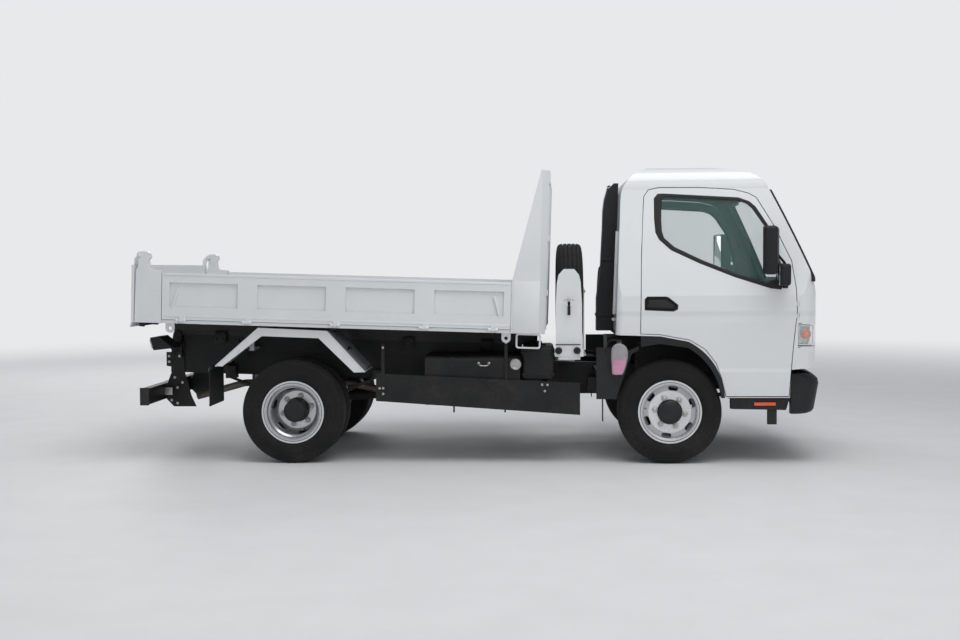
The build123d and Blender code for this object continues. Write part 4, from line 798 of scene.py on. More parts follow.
def bolts(places, facing, size=1.0):
    """Copies of the bolt at the places, in millimetres, with heads that face outwards."""
    turn = Vector((0, 0, 1)).rotation_difference(Vector(facing)).to_matrix().to_4x4()
    copies = []
    for place in places:
        copy = twin(bolt_master)
        copy.data.transform(Matrix.Translation(Vector(place) * MM) @ turn @ Matrix.Scale(size, 4))
        copies.append(copy)
    return copies


print("bolt faces:", len(bolt_master.data.polygons))

# %% [markdown]
# The tyres. A road tyre on a light truck has straight ribs with slightly zigzag
# grooves, small cuts along the shoulder, and thin raised rings on its wall. The
# section is spun round the axle, and then the corners of the grooves are moved
# sideways in turn. It is modelled once and copied to the other places.

# %% Tyres with grooves
tyre_radius = 383
wheel_z = 383
front_x, rear_x = 1420, -1380
outer_wheel, inner_wheel = 815, 595
tread_steps = 120
half_section = [(70, 205), (74.6, 237), (83, 246), (91, 258), (96, 276), (97.6, 292), (97.9, 304),
    (97.2, 306.5), (97.2, 313), (95.6, 314.5), (94.6, 326), (95.4, 328), (95.2, 332), (93.4, 334),
    (91.5, 343), (91.8, 350), (89.5, 358), (85.5, 367), (79, 374), (71, 378.6), (64, 380.6), (53, 381.6),
    (51, 372), (44.5, 372), (42.5, 382), (21.5, 382.8), (19.5, 372.5), (13.5, 372.5), (11.5, 383)]
section = half_section + [(-a, r) for a, r in reversed(half_section)]
tyre_master = turned(section, (0, 0, 0), (0, 1, 0), steps=tread_steps)
for vertex in tyre_master.data.vertices:
    across = abs(vertex.co.y) / MM
    radius = math.hypot(vertex.co.x, vertex.co.z) / MM
    step = round(math.atan2(vertex.co.x, vertex.co.z) / (2 * math.pi) * tread_steps) % tread_steps
    if radius > 371 and 8 < across < 56:
        vertex.co.y += (abs(step % 6 - 3) / 3 - 0.5) * 3.4 * MM
    if across > 70 and 366 < radius < 379 and step % 3 == 0:
        shrink = (radius - 4.5) / radius
        vertex.co.x *= shrink
        vertex.co.z *= shrink
tyre_places = {
    "front_tyre_R": [(front_x, -outer_wheel)],
    "front_tyre_L": [(front_x, outer_wheel)],
    "rear_tyres_R": [(rear_x, -outer_wheel), (rear_x, -inner_wheel)],
    "rear_tyres_L": [(rear_x, outer_wheel), (rear_x, inner_wheel)],
}
for node, places in tyre_places.items():
    copies = [moved(twin(tyre_master), (x, y, wheel_z), turn=17 * number)
        for number, (x, y) in enumerate(places)]
    body = node.replace("front_tyre", "front_wheel").replace("rear_tyres", "rear_wheels")
    tyre = dress(copies, f"grooved_{node}", body, tyre_rubber, 30)
    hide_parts(node)
spare_middle = (690, -560, 1250)
spare = moved(twin(tyre_master), turn=90, axis="Z")
dress([moved(spare, spare_middle)], "grooved_spare_tyre", "chassis", tyre_rubber, 30)
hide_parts("spare_tyre")
print("tyre triangles:", sum(len(face.vertices) - 2 for face in tyre_master.data.polygons))

# %% [markdown]
# The wheels keep their pressed discs from the solid. What they lack is what shows
# at the middle: nuts on their studs, a valve, and the black caps over the hubs. In
# front the cap is a shallow dome, behind it is the long end of the axle.

# %% Wheel nuts, valves and hub caps
nut_circle = 111


def wheel_spot(x, hand, radius, angle):
    """X and Z of a point on a wheel. The angle runs from the top."""
    turn = math.radians(angle)
    return x + hand * radius * math.sin(turn), wheel_z + radius * math.cos(turn)


def wheel_nuts(x, hand, face, first):
    parts = []
    for number in range(6):
        spot_x, spot_z = wheel_spot(x, hand, nut_circle, first + 60 * number)
        parts.append(plate(hexagon(spot_x, spot_z, 18.5), hand * face, hand * (face + 20), 2.2))
        parts.append(turned([(0, 0), (0, 23), (4, 22), (5, 0)], (spot_x, hand * face, spot_z), (0, hand, 0),
            20))
        parts.append(turned([(18, 0), (18, 9), (27, 8.5), (29, 6.5), (29, 0)], (spot_x, hand * face, spot_z),
            (0, hand, 0), 14))
    return parts


front_cap = [(62, 0), (62, 92), (67, 93), (70, 86), (104, 83.5), (113, 80), (121, 69), (125, 50), (127, 28),
    (128, 0)]
rear_cap = [(118, 0), (118, 92), (124, 93), (127, 88), (236, 82), (244, 74), (249, 56), (251, 30), (252, 0)]
for hand_name, hand in hands:
    front_body, rear_body = f"front_wheel_{hand_name}", f"rear_wheels_{hand_name}"
    dress(wheel_nuts(front_x, hand, 881, 22), f"front_nuts_{hand_name}", front_body,
        zinc_plate, 30)
    dress(wheel_nuts(rear_x, hand, 717, -15), f"rear_nuts_{hand_name}", rear_body, zinc_plate,
        30)
    dress([turned(front_cap, (front_x, hand * outer_wheel, wheel_z), (0, hand, 0), 48)],
        f"front_hub_cap_{hand_name}", front_body, black_moulding, 30)
    dress([turned(rear_cap, (rear_x, hand * inner_wheel, wheel_z), (0, hand, 0), 48)],
        f"rear_hub_cap_{hand_name}", rear_body, black_moulding, 30)
    for x, depth, body in ((front_x, 862, "front_wheel_"), (rear_x, 770, "rear_wheels_")):
        inner_x, inner_z = wheel_spot(x, hand, 168, 82)
        outer_x, outer_z = wheel_spot(x, hand, 182, 82)
        valve = tube([(inner_x, hand * (depth - 26), inner_z), (inner_x, hand * depth, inner_z),
            (outer_x, hand * (depth + 24), outer_z)], 4.5, 2)
        dress([valve], f"valve_{x}_{hand_name}".replace("-", "m"), body + hand_name,
            seal_rubber)

# %% [markdown]
# The load bed. The gates hang on pins along the sill, so each gets its rolled
# knuckles, and a frame of folded edges. The slanted bars stand at the two ends of
# the pressed panels.

# %% Gate hinges and folds
gate_face = 980
hinge_places = (-2188, -1695, -1041, -384, 122)
knuckles, straps = [], []
for x in hinge_places:
    along = x / math.cos(slope)
    for offset in (-26, 26):
        centre_x, centre_z = on_deck(along + offset, 24)
        knuckles.append(turned([(-11, 5), (-11, 11), (-9, 12.5), (9, 12.5), (11, 11), (11, 5)],
            (centre_x, -992, centre_z), (math.cos(slope), 0, -math.sin(slope)), 20))
    straps.append(plate([(along - 34, 30), (along + 34, 30), (along + 30, 52), (along - 30, 52)], -gate_face,
        -gate_face - 3, 1.2, "deck"))
dress_pair(knuckles + straps, "gate_hinges", "gate_{hand}", bed_paint)

slants = []
for foot, head in ((-2262, -2214), (172, 124)):
    slants.append(plate([(foot - 9, 104), (foot + 9, 104), (head + 9, 266), (head - 9, 266)], -gate_face + 15,
        -gate_face - 1, 3, "deck", 3))
slants.append(block(-2318, 246, 352, 371, -gate_face + 2, -gate_face - 3, 2.5, "deck", 3))
slants.append(block(-2318, 246, 46, 62, -gate_face + 2, -gate_face - 2, 2, "deck", 3))
dress_pair(slants, "gate_folds", "gate_{hand}", bed_paint)

# %% [markdown]
# The cab's outside. Its doors lean in above the waist, so whatever lies on them is
# drawn upright first and then leant: each corner moves inwards by as much as the
# skin does at its height. The window's black rubber is a frame between two
# outlines, wider at the back and where the mirror's foot stands.

# %% The lean of the skin, and frames between two outlines
cab_half = 965
skin_heights = ((400, 932), (1040, 965), (1240, 965), (2020, 882), (2400, 842))


def skin(z):
    """Half the cab's width at a height, in millimetres."""
    for (low, at_low), (high, at_high) in zip(skin_heights, skin_heights[1:]):
        if z <= high:
            return at_low + (at_high - at_low) * (z - low) / (high - low)
    return skin_heights[-1][1]


def leant(piece):
    """Let a piece that was drawn on the upright right-hand plane follow the skin."""
    for vertex in piece.data.vertices:
        vertex.co.y += (cab_half - skin(vertex.co.z / MM)) * MM
    return piece


def ring_between(outer, inner, start, stop, edge=1.0, plane="xz"):
    """A frame between two outlines that have as many corners each."""
    piece = joined([outline_ring(points, plane, start) for points in (outer, inner)])
    bpy.ops.object.mode_set(mode="EDIT")
    bpy.ops.mesh.select_all(action="SELECT")
    bpy.ops.mesh.bridge_edge_loops()
    bpy.ops.object.mode_set(mode="OBJECT")
    return pulled(piece, plane, start, stop, edge)


def hollow_box(u_a, u_b, v_a, v_b, side, rail, start, stop, edge=1.0, plane="xz"):
    """A rectangular frame with side bars and rails of the given widths."""
    outer, inner = box(u_a, u_b, v_a, v_b), box(u_a + side, u_b - side, v_a + rail, v_b - rail)
    return ring_between(outer, inner, start, stop, edge, plane)


def dense(points, longest=70):
    """The same outline with more corners on its long sides, so that it can bend."""
    out = []
    for (u_a, v_a), (u_b, v_b) in zip(points, points[1:] + points[:1]):
        count = max(1, math.ceil(math.hypot(u_b - u_a, v_b - v_a) / longest))
        out += [(u_a + (u_b - u_a) * k / count, v_a + (v_b - v_a) * k / count) for k in range(count)]
    return out


window_outer = [(1303, 1800), (1303, 1950), (1330, 1984), (1374, 1986), (1914, 1953), (1990, 1925),
    (2036, 1886), (2129, 1742), (2226, 1430), (2228, 1306), (2210, 1284), (2132, 1294), (1880, 1375),
    (1628, 1478), (1425, 1574), (1339, 1647), (1312, 1700)]
window_inner = [(1354, 1790), (1356, 1926), (1368, 1954), (1394, 1964), (1908, 1933), (1972, 1909),
    (2013, 1873), (2108, 1734), (2190, 1446), (2176, 1358), (2160, 1346), (2112, 1330), (1888, 1400),
    (1640, 1503), (1446, 1597), (1374, 1662), (1357, 1716)]
grown_outer = [(u + (2 if u > 1700 else -2), v + (2 if v > 1600 else -2)) for u, v in window_outer]
window_rubber = ring_between(grown_outer, window_inner, -cab_half - 1.5, -cab_half + 11.5, 1.2)
dress_pair([leant(window_rubber)], "window_rubber", "door_{hand}", seal_rubber)

# %% [markdown]
# The door pull is a black dish with a flap across it. A dish that is only painted
# dark looks flat from the side, so it has a floor, a raised rim and a flap that
# stands clear of the floor, with a small key barrel beside it.

# %% Door pulls and sill strips
dish = [(1234, 1142), (1438, 1132), (1463, 1146), (1466, 1171), (1399, 1224), (1380, 1230), (1251, 1230),
    (1234, 1213)]
dish_outer = [(1228, 1136), (1438, 1126), (1469, 1142), (1472, 1174), (1402, 1230), (1382, 1236),
    (1248, 1236), (1228, 1216)]
pull = [plate(dish, -cab_half + 21.8, -cab_half + 17, 0.8), ring_between(dish_outer, dish, -cab_half - 2,
    -cab_half + 6, 1.2), plate([(1262, 1152), (1430, 1146), (1442, 1156), (1442, 1172), (1388, 1212),
    (1262, 1214), (1254, 1204), (1254, 1162)], -cab_half + 2, -cab_half + 12, 3.5, steps=4),
    turned([(-3, 0), (-3, 9), (4, 9), (6, 6), (6, 0)], (1252, -cab_half - 1, 1168), (0, -1, 0), 20)]
dress_pair(pull, "door_pull", "door_{hand}", seal_rubber)

# %% [markdown]
# Mirrors. The big head is a softly swollen box, the small one looks down at the
# kerb, and both hang on bent tubes that are clamped to the door. The silver faces
# look backwards and sit a little inside a raised lip.

# %% Mirrors on their arms
mirror_y = -1095
mirror_turn = -16
mirror_face = [(mirror_y - 74, 1416), (mirror_y - 64, 1406), (mirror_y + 64, 1406), (mirror_y + 74, 1416),
    (mirror_y + 74, 1717), (mirror_y + 64, 1727), (mirror_y - 64, 1727), (mirror_y - 74, 1717)]
for hand_name, hand in hands:
    head = block(2066, 2176, mirror_y - 86, mirror_y + 86, 1393, 1740, 26, "xy", 6)
    for vertex in head.data.vertices:
        lift = abs(vertex.co.z - 1.566) / 0.174
        if vertex.co.x > 2.13:
            vertex.co.x -= 0.016 * lift * lift
    head = joined([head, ring_between([(mirror_y - 82, 1410), (mirror_y - 70, 1398), (mirror_y + 70, 1398),
        (mirror_y + 82, 1410), (mirror_y + 82, 1723), (mirror_y + 70, 1735), (mirror_y - 70, 1735),
        (mirror_y - 82, 1723)], mirror_face, 2074, 2063, 1.5, "yz")])
    low_head = block(2170, 2252, mirror_y - 35, mirror_y + 75, 1312, 1470, 22, "xy", 5)
    arms = []
    for foot, elbow, tip in (((2246, -957, 1318), (2238, -1030, 1326), (2150, -1078, 1452)),
            ((2236, -946, 1446), (2226, -1040, 1468), (2140, -1086, 1560)),
            ((2238, -1036, 1330), (2236, -1046, 1400), (2226, -1042, 1468))):
        arms.append(tube([foot, tuple((a * 2 + b) / 3 for a, b in zip(elbow, foot)), elbow,
            tuple((a * 2 + b) / 3 for a, b in zip(elbow, tip)), tip], 9, 3))
    for x, z in ((2246, 1318), (2236, 1446)):
        y = -skin(z)
        arms.append(block(x - 22, x + 16, z - 26, z + 26, y - 10, y + 1, 4, steps=3))
        arms += bolts([(x - 10, y - 10, z - 15), (x - 10, y - 10, z + 15)], (0, -1, 0), 0.6)
    arms.append(turned([(-12, 9), (-12, 16), (12, 16), (12, 9)], (2232, -1042, 1400), (0, 0, 1), 20, 2))
    moved(head, turn=mirror_turn, axis="Z", centre=(2121, mirror_y, 0))
    whole = joined([head, low_head] + arms)
    glass = plate(mirror_face, 2067, 2064.6, 0.5, "yz")
    moved(glass, turn=mirror_turn, axis="Z", centre=(2121, mirror_y, 0))
    low_glass = block(mirror_y - 28, mirror_y + 68, 1322, 1460, 2170.5, 2168.2, 0.6, "yz")
    silver = joined([glass, low_glass])
    if hand > 0:
        for piece in (whole, silver):
            piece.data.transform(Matrix.Scale(-1, 4, (0, 1, 0)))
            piece.data.flip_normals()
    whole = dress([whole], f"mirror_heads_{hand_name}", f"door_{hand_name}", black_moulding)
    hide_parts(f"mirrors_{hand_name}")
    dress([silver], f"mirror_glass_{hand_name}", f"door_{hand_name}", mirror_silver)

# %% [markdown]
# The windscreen's surface curves two ways, so its rubber is drawn flat in a front
# view and each corner is then moved forward to the glass. The same is done for
# the wipers. The rear window lies on a flat wall that leans only a little.

# %% Rubber round the windscreen and the rear window, and the wipers


def screen_x(y, z):
    """X of the cab's front above the waist, from three points of its side outline."""
    (za, xa), (zb, xb), (zc, xc) = (2040, 2124), (1610, 2336), (1350, 2452)
    upright = (xa * (z - zb) * (z - zc) / ((za - zb) * (za - zc))
               + xb * (z - za) * (z - zc) / ((zb - za) * (zb - zc))
               + xc * (z - za) * (z - zb) / ((zc - za) * (zc - zb)))
    return min(upright, 2497 - 10 * (y / 819) ** 2 - max(0, abs(y) - 819) * 0.35)


def onto_screen(piece, outwards=0):
    for vertex in piece.data.vertices:
        vertex.co.x += (screen_x(vertex.co.y / MM, vertex.co.z / MM) + outwards) * MM
    return piece


screen_outline = [(-839, 1336), (839, 1336), (847, 1420), (764, 1962), (722, 2015), (-722, 2015),
    (-764, 1962), (-847, 1420)]
screen_inner = [(-812, 1362), (812, 1362), (818, 1420), (738, 1950), (708, 1990), (-708, 1990), (-738, 1950),
    (-818, 1420)]


def matched(outer, inner, longest=70):
    """Both outlines with extra corners at the same shares of each side."""
    pairs = []
    for index, (start, stop) in enumerate(zip(outer, outer[1:] + outer[:1])):
        count = max(1, math.ceil(math.dist(start, stop) / longest))
        inner_start, inner_stop = inner[index], inner[(index + 1) % len(inner)]
        for k in range(count):
            pairs.append(tuple(tuple(a + (b - a) * k / count for a, b in zip(first, last))
                for first, last in ((start, stop), (inner_start, inner_stop))))
    return [pair[0] for pair in pairs], [pair[1] for pair in pairs]


screen_rubber = onto_screen(ring_between(*matched(screen_outline, screen_inner), -12, 3, 1.2, "yz"))
pillar_seals = []
for side in (-1, 1):
    run = [(0, side * (skin(z) - 19), z) for z in (1340, 1400, 1500, 1620, 1740, 1850, 1950, 2010)]
    pillar_seals.append(onto_screen(tube(run, 15, 3), 5))
wall_lean = 38 / 995
rear_outline = [(-562, 1417), (562, 1417), (603, 1458), (583, 1832), (542, 1873), (-542, 1873), (-583, 1832),
    (-603, 1458)]
rear_inner = [(u * 0.957, 1645 + (v - 1645) * 0.9) for u, v in rear_outline]
rear_rubber = ring_between(*matched(rear_outline, rear_inner), -4, 12, 1.2, "yz")
for vertex in rear_rubber.data.vertices:
    vertex.co.x += (1020 + (vertex.co.z / MM - 955) * wall_lean) * MM
dress([screen_rubber, rear_rubber] + pillar_seals, "screen_rubbers", "cab", seal_rubber)

wipers = []
for pivot_y, reach in ((620, -560), (60, -560)):
    arm = [(0, pivot_y, 1318), (6, pivot_y + reach * 0.35, 1352), (10, pivot_y + reach * 0.7, 1392)]
    for points, radius in ((arm, 5), ([(12, pivot_y + reach * 0.25, 1366), (12, pivot_y + reach * 0.7, 1396),
            (12, pivot_y + reach * 1.05, 1404)], 4)):
        bar = tube(points, radius, 2)
        wipers.append(onto_screen(bar, 8))
    wipers.append(onto_screen(turned([(-22, 0), (-22, 16), (8, 15), (14, 10), (14, 0)], (0, pivot_y, 1318),
        (1, 0, 0), 20), 4))
dress(wipers, "wipers", "cab", seal_rubber)

# %% [markdown]
# The nose. Seams run round the corners above and below the headlamps, so they are
# thin dark cords laid half into the skin along the plan's curve. Behind the clear
# lamp solids stand a silver bowl and the amber bulb that shows from the side.

# %% Seams of the nose, lamps, grille bars and the number plate's blank
corner_plan = [(2338, 966), (2360, 965), (2405, 955), (2440, 934), (2466, 900), (2483, 850), (2488, 790),
    (2492, 600), (2496, 300), (2497, 0)]


def front_x_at(z):
    """How far the side outline stands back from the nose at a height below the waist."""
    if z < 1010:
        return 5 + (1010 - z) * 28 / 298
    return 5 - (z - 1010) * 2 / 170 if z < 1180 else 3 + (z - 1180) ** 2 * 39 / 170 ** 2


def round_nose(z, offset):
    """The plan of the nose's corner at a height, moved outwards by the offset."""
    narrow = cab_half - skin(z)
    back = front_x_at(z)
    return [(x - (back if x > 2400 else back * max(0, x - 2338) / 62) + offset * min(1, (x - 2338) / 150),
        -(y - narrow * (1 if y > 900 else 0.6) + offset * (1 if y > 900 else 0.3)), z)
        for x, y in corner_plan]


seams = [tube(round_nose(z, -0.6), 2.6, 2) for z in (1037, 862)]
dress_pair(seams, "nose_seams", "cab", seal_rubber)

bowls, bulbs = [], []
bucket = [(2342, -668), (2436, -668), (2442, -780), (2430, -850), (2404, -896), (2366, -919), (2342, -921)]
bowls.append(plate(bucket, 874, 1024, 3, "xy"))
for y, radius in ((-735, 56), (-838, 34)):
    x = 2440 if y > -800 else 2428
    bowls.append(turned([(0, radius * 0.3), (0, radius), (14, radius + 3), (16, radius + 1),
        (12, radius * 0.8), (3, radius * 0.3)], (x - 1, y, 950), (1, 0, 0), 36))
    bowls.append(turned([(0, 0), (0, radius * 0.26), (14, radius * 0.24), (18, radius * 0.1), (18, 0)],
        (x, y, 950), (1, 0, 0), 24))
bowls.append(turned([(0, 20), (0, 34), (10, 38), (12, 36), (8, 30), (2, 20)], (2400, -917, 956), (0, -1, 0),
    32))
bowls.append(hollow_box(2344, 2452, 876, 1022, 8, 8, -926, -934, 1))
dress_pair(bowls, "lamp_bowls", "cab", lamp_silver)
bulbs.append(turned([(0, 0), (0, 21), (14, 19), (24, 12), (27, 0)], (2402, -920, 957), (0, -1, 0), 28))
dress_pair(bulbs, "amber_bulbs", "cab", amber_lens)

grille_bars = []
for index in range(5):
    z = 839 + index * 46
    grille_bars.append(block(-556, 556, z - 5, z + 5, 2466, 2478, 3, "yz", 3))
dress(grille_bars, "grille_mesh_bars", "cab", seal_rubber)
plate_blank = [block(-260, 260, 445, 515, 2544, 2547, 2, "yz")]
dress(plate_blank, "number_plate_blank", "chassis", cab_paint)
fixings = bolts([(2547, -180, 503), (2547, 180, 503)], (1, 0, 0), 0.7)
dress(fixings, "number_plate_bolts", "chassis", zinc_plate)

fogs, fog_lenses = [], []
fogs.append(turned([(0, 0), (0, 44), (30, 44), (34, 40), (34, 34), (6, 28), (4, 0)], (2462, -680, 515),
    (1, 0, 0), 36))
fogs.append(block(-758, -602, 472, 558, 2458, 2463, 1, "yz"))
dress_pair(fogs, "fog_lamp_cups", "chassis", lamp_silver)
fog_lenses.append(turned([(26, 0), (26, 34), (30, 34), (36, 24), (39, 0)], (2462, -680, 515), (1, 0, 0), 36))
dress_pair(fog_lenses, "fog_lamp_lenses", "chassis", lamp_glass)

# %% [markdown]
# Below the doors: an orange side reflector on each step panel, ribs under the
# foot, and a strip of trim along the bumper's top. Pieces this small still catch
# the eye, because they are the only colour on a white and black truck.

# %% Reflectors, step ribs and bumper trim
reflectors = [block(2034, 2190, 431, 455, -904, -899.6, 2, steps=3)]
dress_pair(reflectors, "side_reflectors", "chassis", orange_lens)
ribs = [block(1908 + 58 * k, 1930 + 58 * k, 439.5, 443, -890 + 52, -640, 1) for k in range(6)]
ribs += [block(2030, 2194, 427, 459, -900, -901.5, 1)]
dress_pair(ribs, "step_ribs", "chassis", black_moulding)
sill = [leant(block(1830, 2270, 497, 500.5, -cab_half - 0.5, -cab_half + 14, 1))]
dress_pair(sill, "door_sill_strip", "door_{hand}", seal_rubber)
print("cab outside done")

# %% [markdown]
# The frame and what hangs on it. The solids give the masses. A real chassis is
# held together by rows of bolts, straps and bent pipes, so those come next: the
# rail bolts, the springs' U-bolts and clips, the tank's straps, cap and handle,
# the battery box cover, and the cables and pipes along the left rail.

# %% Rails, springs and pipes
rail_bolts = []
for along in (-2400, -1820, -250, 420, 650):
    for lift in (-215, -265):
        x, z = on_deck(along, lift)
        rail_bolts += bolts([(x - 16, -381, z), (x + 16, -381, z)], (0, -1, 0), 0.8)
for along in (-2050, -1250, -560, 60):
    x, z = on_deck(along, -148)
    rail_bolts.append(block(along - 46, along + 46, -178, -84, -382, -388, 1.5, "deck"))
    for side in (-26, 26):
        rail_bolts += bolts([(x + side, -388, z), (x + side, -388, z + 48)], (0, -1, 0), 0.9)
dress_pair(rail_bolts, "rail_bolts", "chassis", chassis_paint)

clips = []
clip_reach = 330
for axle_x, low, leaves, arch, half_span in ((rear_x, 436, 5, 120, 600), (front_x, 372, 4, 90, 560)):
    top = low + leaves * 12
    for side in (-52, 52):
        run = [(axle_x + side, -394, low - 66), (axle_x + side, -394, top + 24),
            (axle_x + side, -400, top + 32), (axle_x + side, -430, top + 32), (axle_x + side, -436, top + 24),
            (axle_x + side, -436, low - 66)]
        clips.append(tube(run, 7.5, 2))
        clips += bolts([(axle_x + side, -394, low - 44), (axle_x + side, -436, low - 44)], (0, 0, -1), 0.9)
    clips.append(block(axle_x - 74, axle_x + 74, low - 46, low - 34, -384, -446, 2))
    for end in (-1, 1):
        middle = axle_x + end * clip_reach
        lift = low + arch * (clip_reach / half_span) ** 2
        clips.append(block(middle - 14, middle + 14, lift + 7, lift + leaves * 12 + 5, -381, -449, 2))
dress_pair(clips, "spring_clips", "chassis", bare_steel)

lines = []
for number, (y, radius) in enumerate(((392, 5), (401, 4), (410, 6))):
    run = [(*on_deck(along, -196 - 13 * number + 5 * math.sin(along / 170 + number)),)
        for along in range(-2180, 1000, 150)]
    lines.append(tube([(x, y, z) for x, z in run], radius, 2))
for along in range(-2000, 900, 420):
    x, z = on_deck(along, -208)
    lines.append(block(x - 8, x + 8, z - 26, z + 24, 383, 418, 2))
lines.append(tube([(-1380, 340, 470), (-1380, 330, 560), (-1300, 250, 640), (-1180, 120, 650),
    (-1100, 60, 660)], 6, 2))
lines.append(tube([(-1500, -60, 470), (-1460, -200, 452), (-1400, -330, 448), (-1390, -470, 440)], 4, 2))
lines.append(tube([(-1500, 60, 470), (-1460, 200, 452), (-1400, 330, 448), (-1390, 470, 440)], 4, 2))
dress(lines, "pipes_and_cables", "chassis", seal_rubber)

# %% [markdown]
# The fuel tank hangs on two straps with long bolts and has a handle and a cap. A strap
# could be a bent curve, but a flat band is truer as an outline with a thickness that
# is extruded by its width. Beside it stand the hoist's oil tank and the battery box.

# %% Fuel tank and battery box
tank_fittings = []
for x in (-190, 200):
    strap = [(x, -384, 801), (x, -826, 801), (x, -858, 790), (x, -872, 768), (x, -873, 740), (x, -873, 490),
        (x, -872, 462), (x, -858, 438), (x, -826, 427), (x, -384, 427)]
    outer = [(y, z) for _, y, z in strap]
    inner = [(-384, 798), (-824, 798), (-855, 787), (-869, 766), (-870, 740), (-870, 490), (-869, 464),
        (-855, 441), (-824, 430), (-384, 430)]
    tank_fittings.append(plate(outer + inner[::-1], x - 17, x + 17, 0.6, "yz", 1))
    tank_fittings.append(turned([(0, 0), (0, 6.5), (74, 6.5), (76, 5), (76, 0)], (x, -640, 427), (0, 0, -1),
        14))
    tank_fittings += bolts([(x, -640, 419)], (0, 0, -1), 0.9)
    tank_fittings.append(block(x - 14, x + 14, 402, 427, -600, -680, 2))
tank_handle = [block(2, 20, 736, 754, -868, -876, 2), block(78, 96, 736, 754, -868, -876, 2)]
tank_handle.append(tube([(10, -872, 744), (14, -892, 732), (36, -896, 727), (62, -896, 727), (84, -892, 732),
    (88, -872, 744)], 5, 2))
dress(tank_fittings, "tank_straps", "chassis", chassis_paint)
dress(tank_handle, "tank_handle", "chassis", zinc_plate)
oil_tank = [block(334, 572, 612, 868, -400, -872, 26, steps=4), block(392, 514, 868, 876, -560, -700, 3),
    turned([(0, 0), (0, 30), (18, 28), (20, 22), (20, 0)], (453, -630, 876), (0, 0, 1), 28)]
for z in (660, 820):
    oil_tank.append(block(334, 572, z - 9, z + 9, -872, -875, 1))
oil_tank += bolts([(360, -875, 660), (546, -875, 660), (360, -875, 820), (546, -875, 820)], (0, -1, 0), 0.8)
dress(oil_tank, "hoist_oil_tank", "chassis", chassis_paint)

cap = [turned([(0, 0), (0, 36), (5, 40), (12, 40.5), (18, 38), (20, 30), (17, 26), (17, 0)], (285, -882, 738),
    (0, -1, 0), 36)]
cap.append(block(257, 313, 733, 743, -896, -906, 3))
for number in range(18):
    angle = number * math.pi / 9
    cap.append(turned([(2, 0), (2, 3), (15, 3), (15, 0)], (285 + 40.5 * math.cos(angle), -882,
        738 + 40.5 * math.sin(angle)), (0, -1, 0), 8))
dress(cap, "fuel_cap", "chassis", zinc_plate)

cover = [block(-128, 328, 690, 712, 376, 808, 5, steps=3)]
for x in (-60, 20, 100, 180, 260):
    cover.append(block(x - 12, x + 12, 470, 676, 799, 804, 2.5))
cover += [block(-30, 0, 600, 716, 804, 812, 2), block(200, 230, 600, 716, 804, 812, 2)]
for x in (-15, 215):
    cover += bolts([(x, 812, 620)], (0, 1, 0), 0.9)
dress(cover, "battery_cover", "chassis", black_moulding)

# %% [markdown]
# Side guards, fenders, flaps and the rear beam. The fender's slope towards the cab
# shows a dark ribbed mat in the photo, so it is a piece of its own that lies on
# the sheet. The guard carries one small blank plate.

# %% Guards, fenders and flaps
guard_parts = []
for x, z in ((-726, 562), (-700, 562), (480, 586), (520, 586), (-700, 520), (500, 540)):
    guard_parts += bolts([(x, -900, z)], (0, -1, 0), 0.7)
for x, top in ((-700, 890), (215, 925)):
    guard_parts += bolts([(x, -893, top - 26)], (0, -1, 0), 0.7)
dress_pair(guard_parts, "guard_bolts", "chassis", zinc_plate)
dress([block(76, 150, 606, 624, -900, -902, 0.8)], "guard_label", "chassis", cab_paint)

edge_line = [(-1952, 733), (-1625, 1016), (-1110, 991), (-830, 686)]


def on_fender(points, offset):
    """The fender's outer line, raised by an offset."""
    raised = []
    for number, (x, z) in enumerate(points):
        before, after = points[max(number - 1, 0)], points[min(number + 1, len(points) - 1)]
        along = Vector((after[0] - before[0], after[1] - before[1])).normalized()
        raised.append((x - along.y * offset, z + along.x * offset))
    return raised


mats, rims = [], []
for start, stop in (((-1952, 733), (-1625, 1016)), ((-1110, 991), (-830, 686))):
    run = Vector((stop[0] - start[0], stop[1] - start[1]))
    unit = run.normalized()
    normal = Vector((-unit.y, unit.x))
    corners = [(start[0] + unit.x * a + normal.x * b, start[1] + unit.y * a + normal.y * b)
        for a, b in ((14, 0.4), (run.length - 10, 0.4), (run.length - 10, 5), (14, 5))]
    mats.append(plate(corners, -500, -908, 1))
    for step in range(14):
        y = -516 - step * 29
        ridge = [(start[0] + unit.x * a + normal.x * b, start[1] + unit.y * a + normal.y * b)
            for a, b in ((20, 4), (run.length - 16, 4), (run.length - 16, 9), (20, 9))]
        mats.append(plate(ridge, y - 5, y + 5, 1.8))
dress_pair(mats, "fender_mats", "chassis", dash_moulding)
rim_outer = on_fender(edge_line, 2)
rim_inner = on_fender(edge_line, -7)
rims.append(plate(rim_outer + rim_inner[::-1], -926, -934, 2, steps=2))
for x, z in ((-1770, 826), (-990, 808)):
    rims += bolts([(x, -934, z + (20 if x < -1380 else 0))], (0, -1, 0), 0.6)
dress_pair(rims, "fender_rims", "chassis", bed_paint)

stays = []
for x, z in ((-1790, 833), (-970, 813)):
    stays.append(tube([(x, -384, z), (x, -640, z), (x, -760, z + 60),
        (x, -880, z + (104 if x < -1380 else 24))], 9, 2))
    stays += bolts([(x, -386, z + 18), (x, -386, z - 18)], (0, -1, 0), 0.9)
dress_pair(stays, "fender_stays", "chassis", chassis_paint)

flap_parts = [block(-2010, -2004, 694, 716, -510, -898, 1.5)]
for y in (-540, -640, -740, -860):
    flap_parts += bolts([(-2010, y, 705)], (-1, 0, 0), 0.7)
flap_parts.append(block(-2010, -2006, 432, 446, -506, -899, 1.5))
dress_pair(flap_parts, "flap_strips", "chassis", bare_steel)

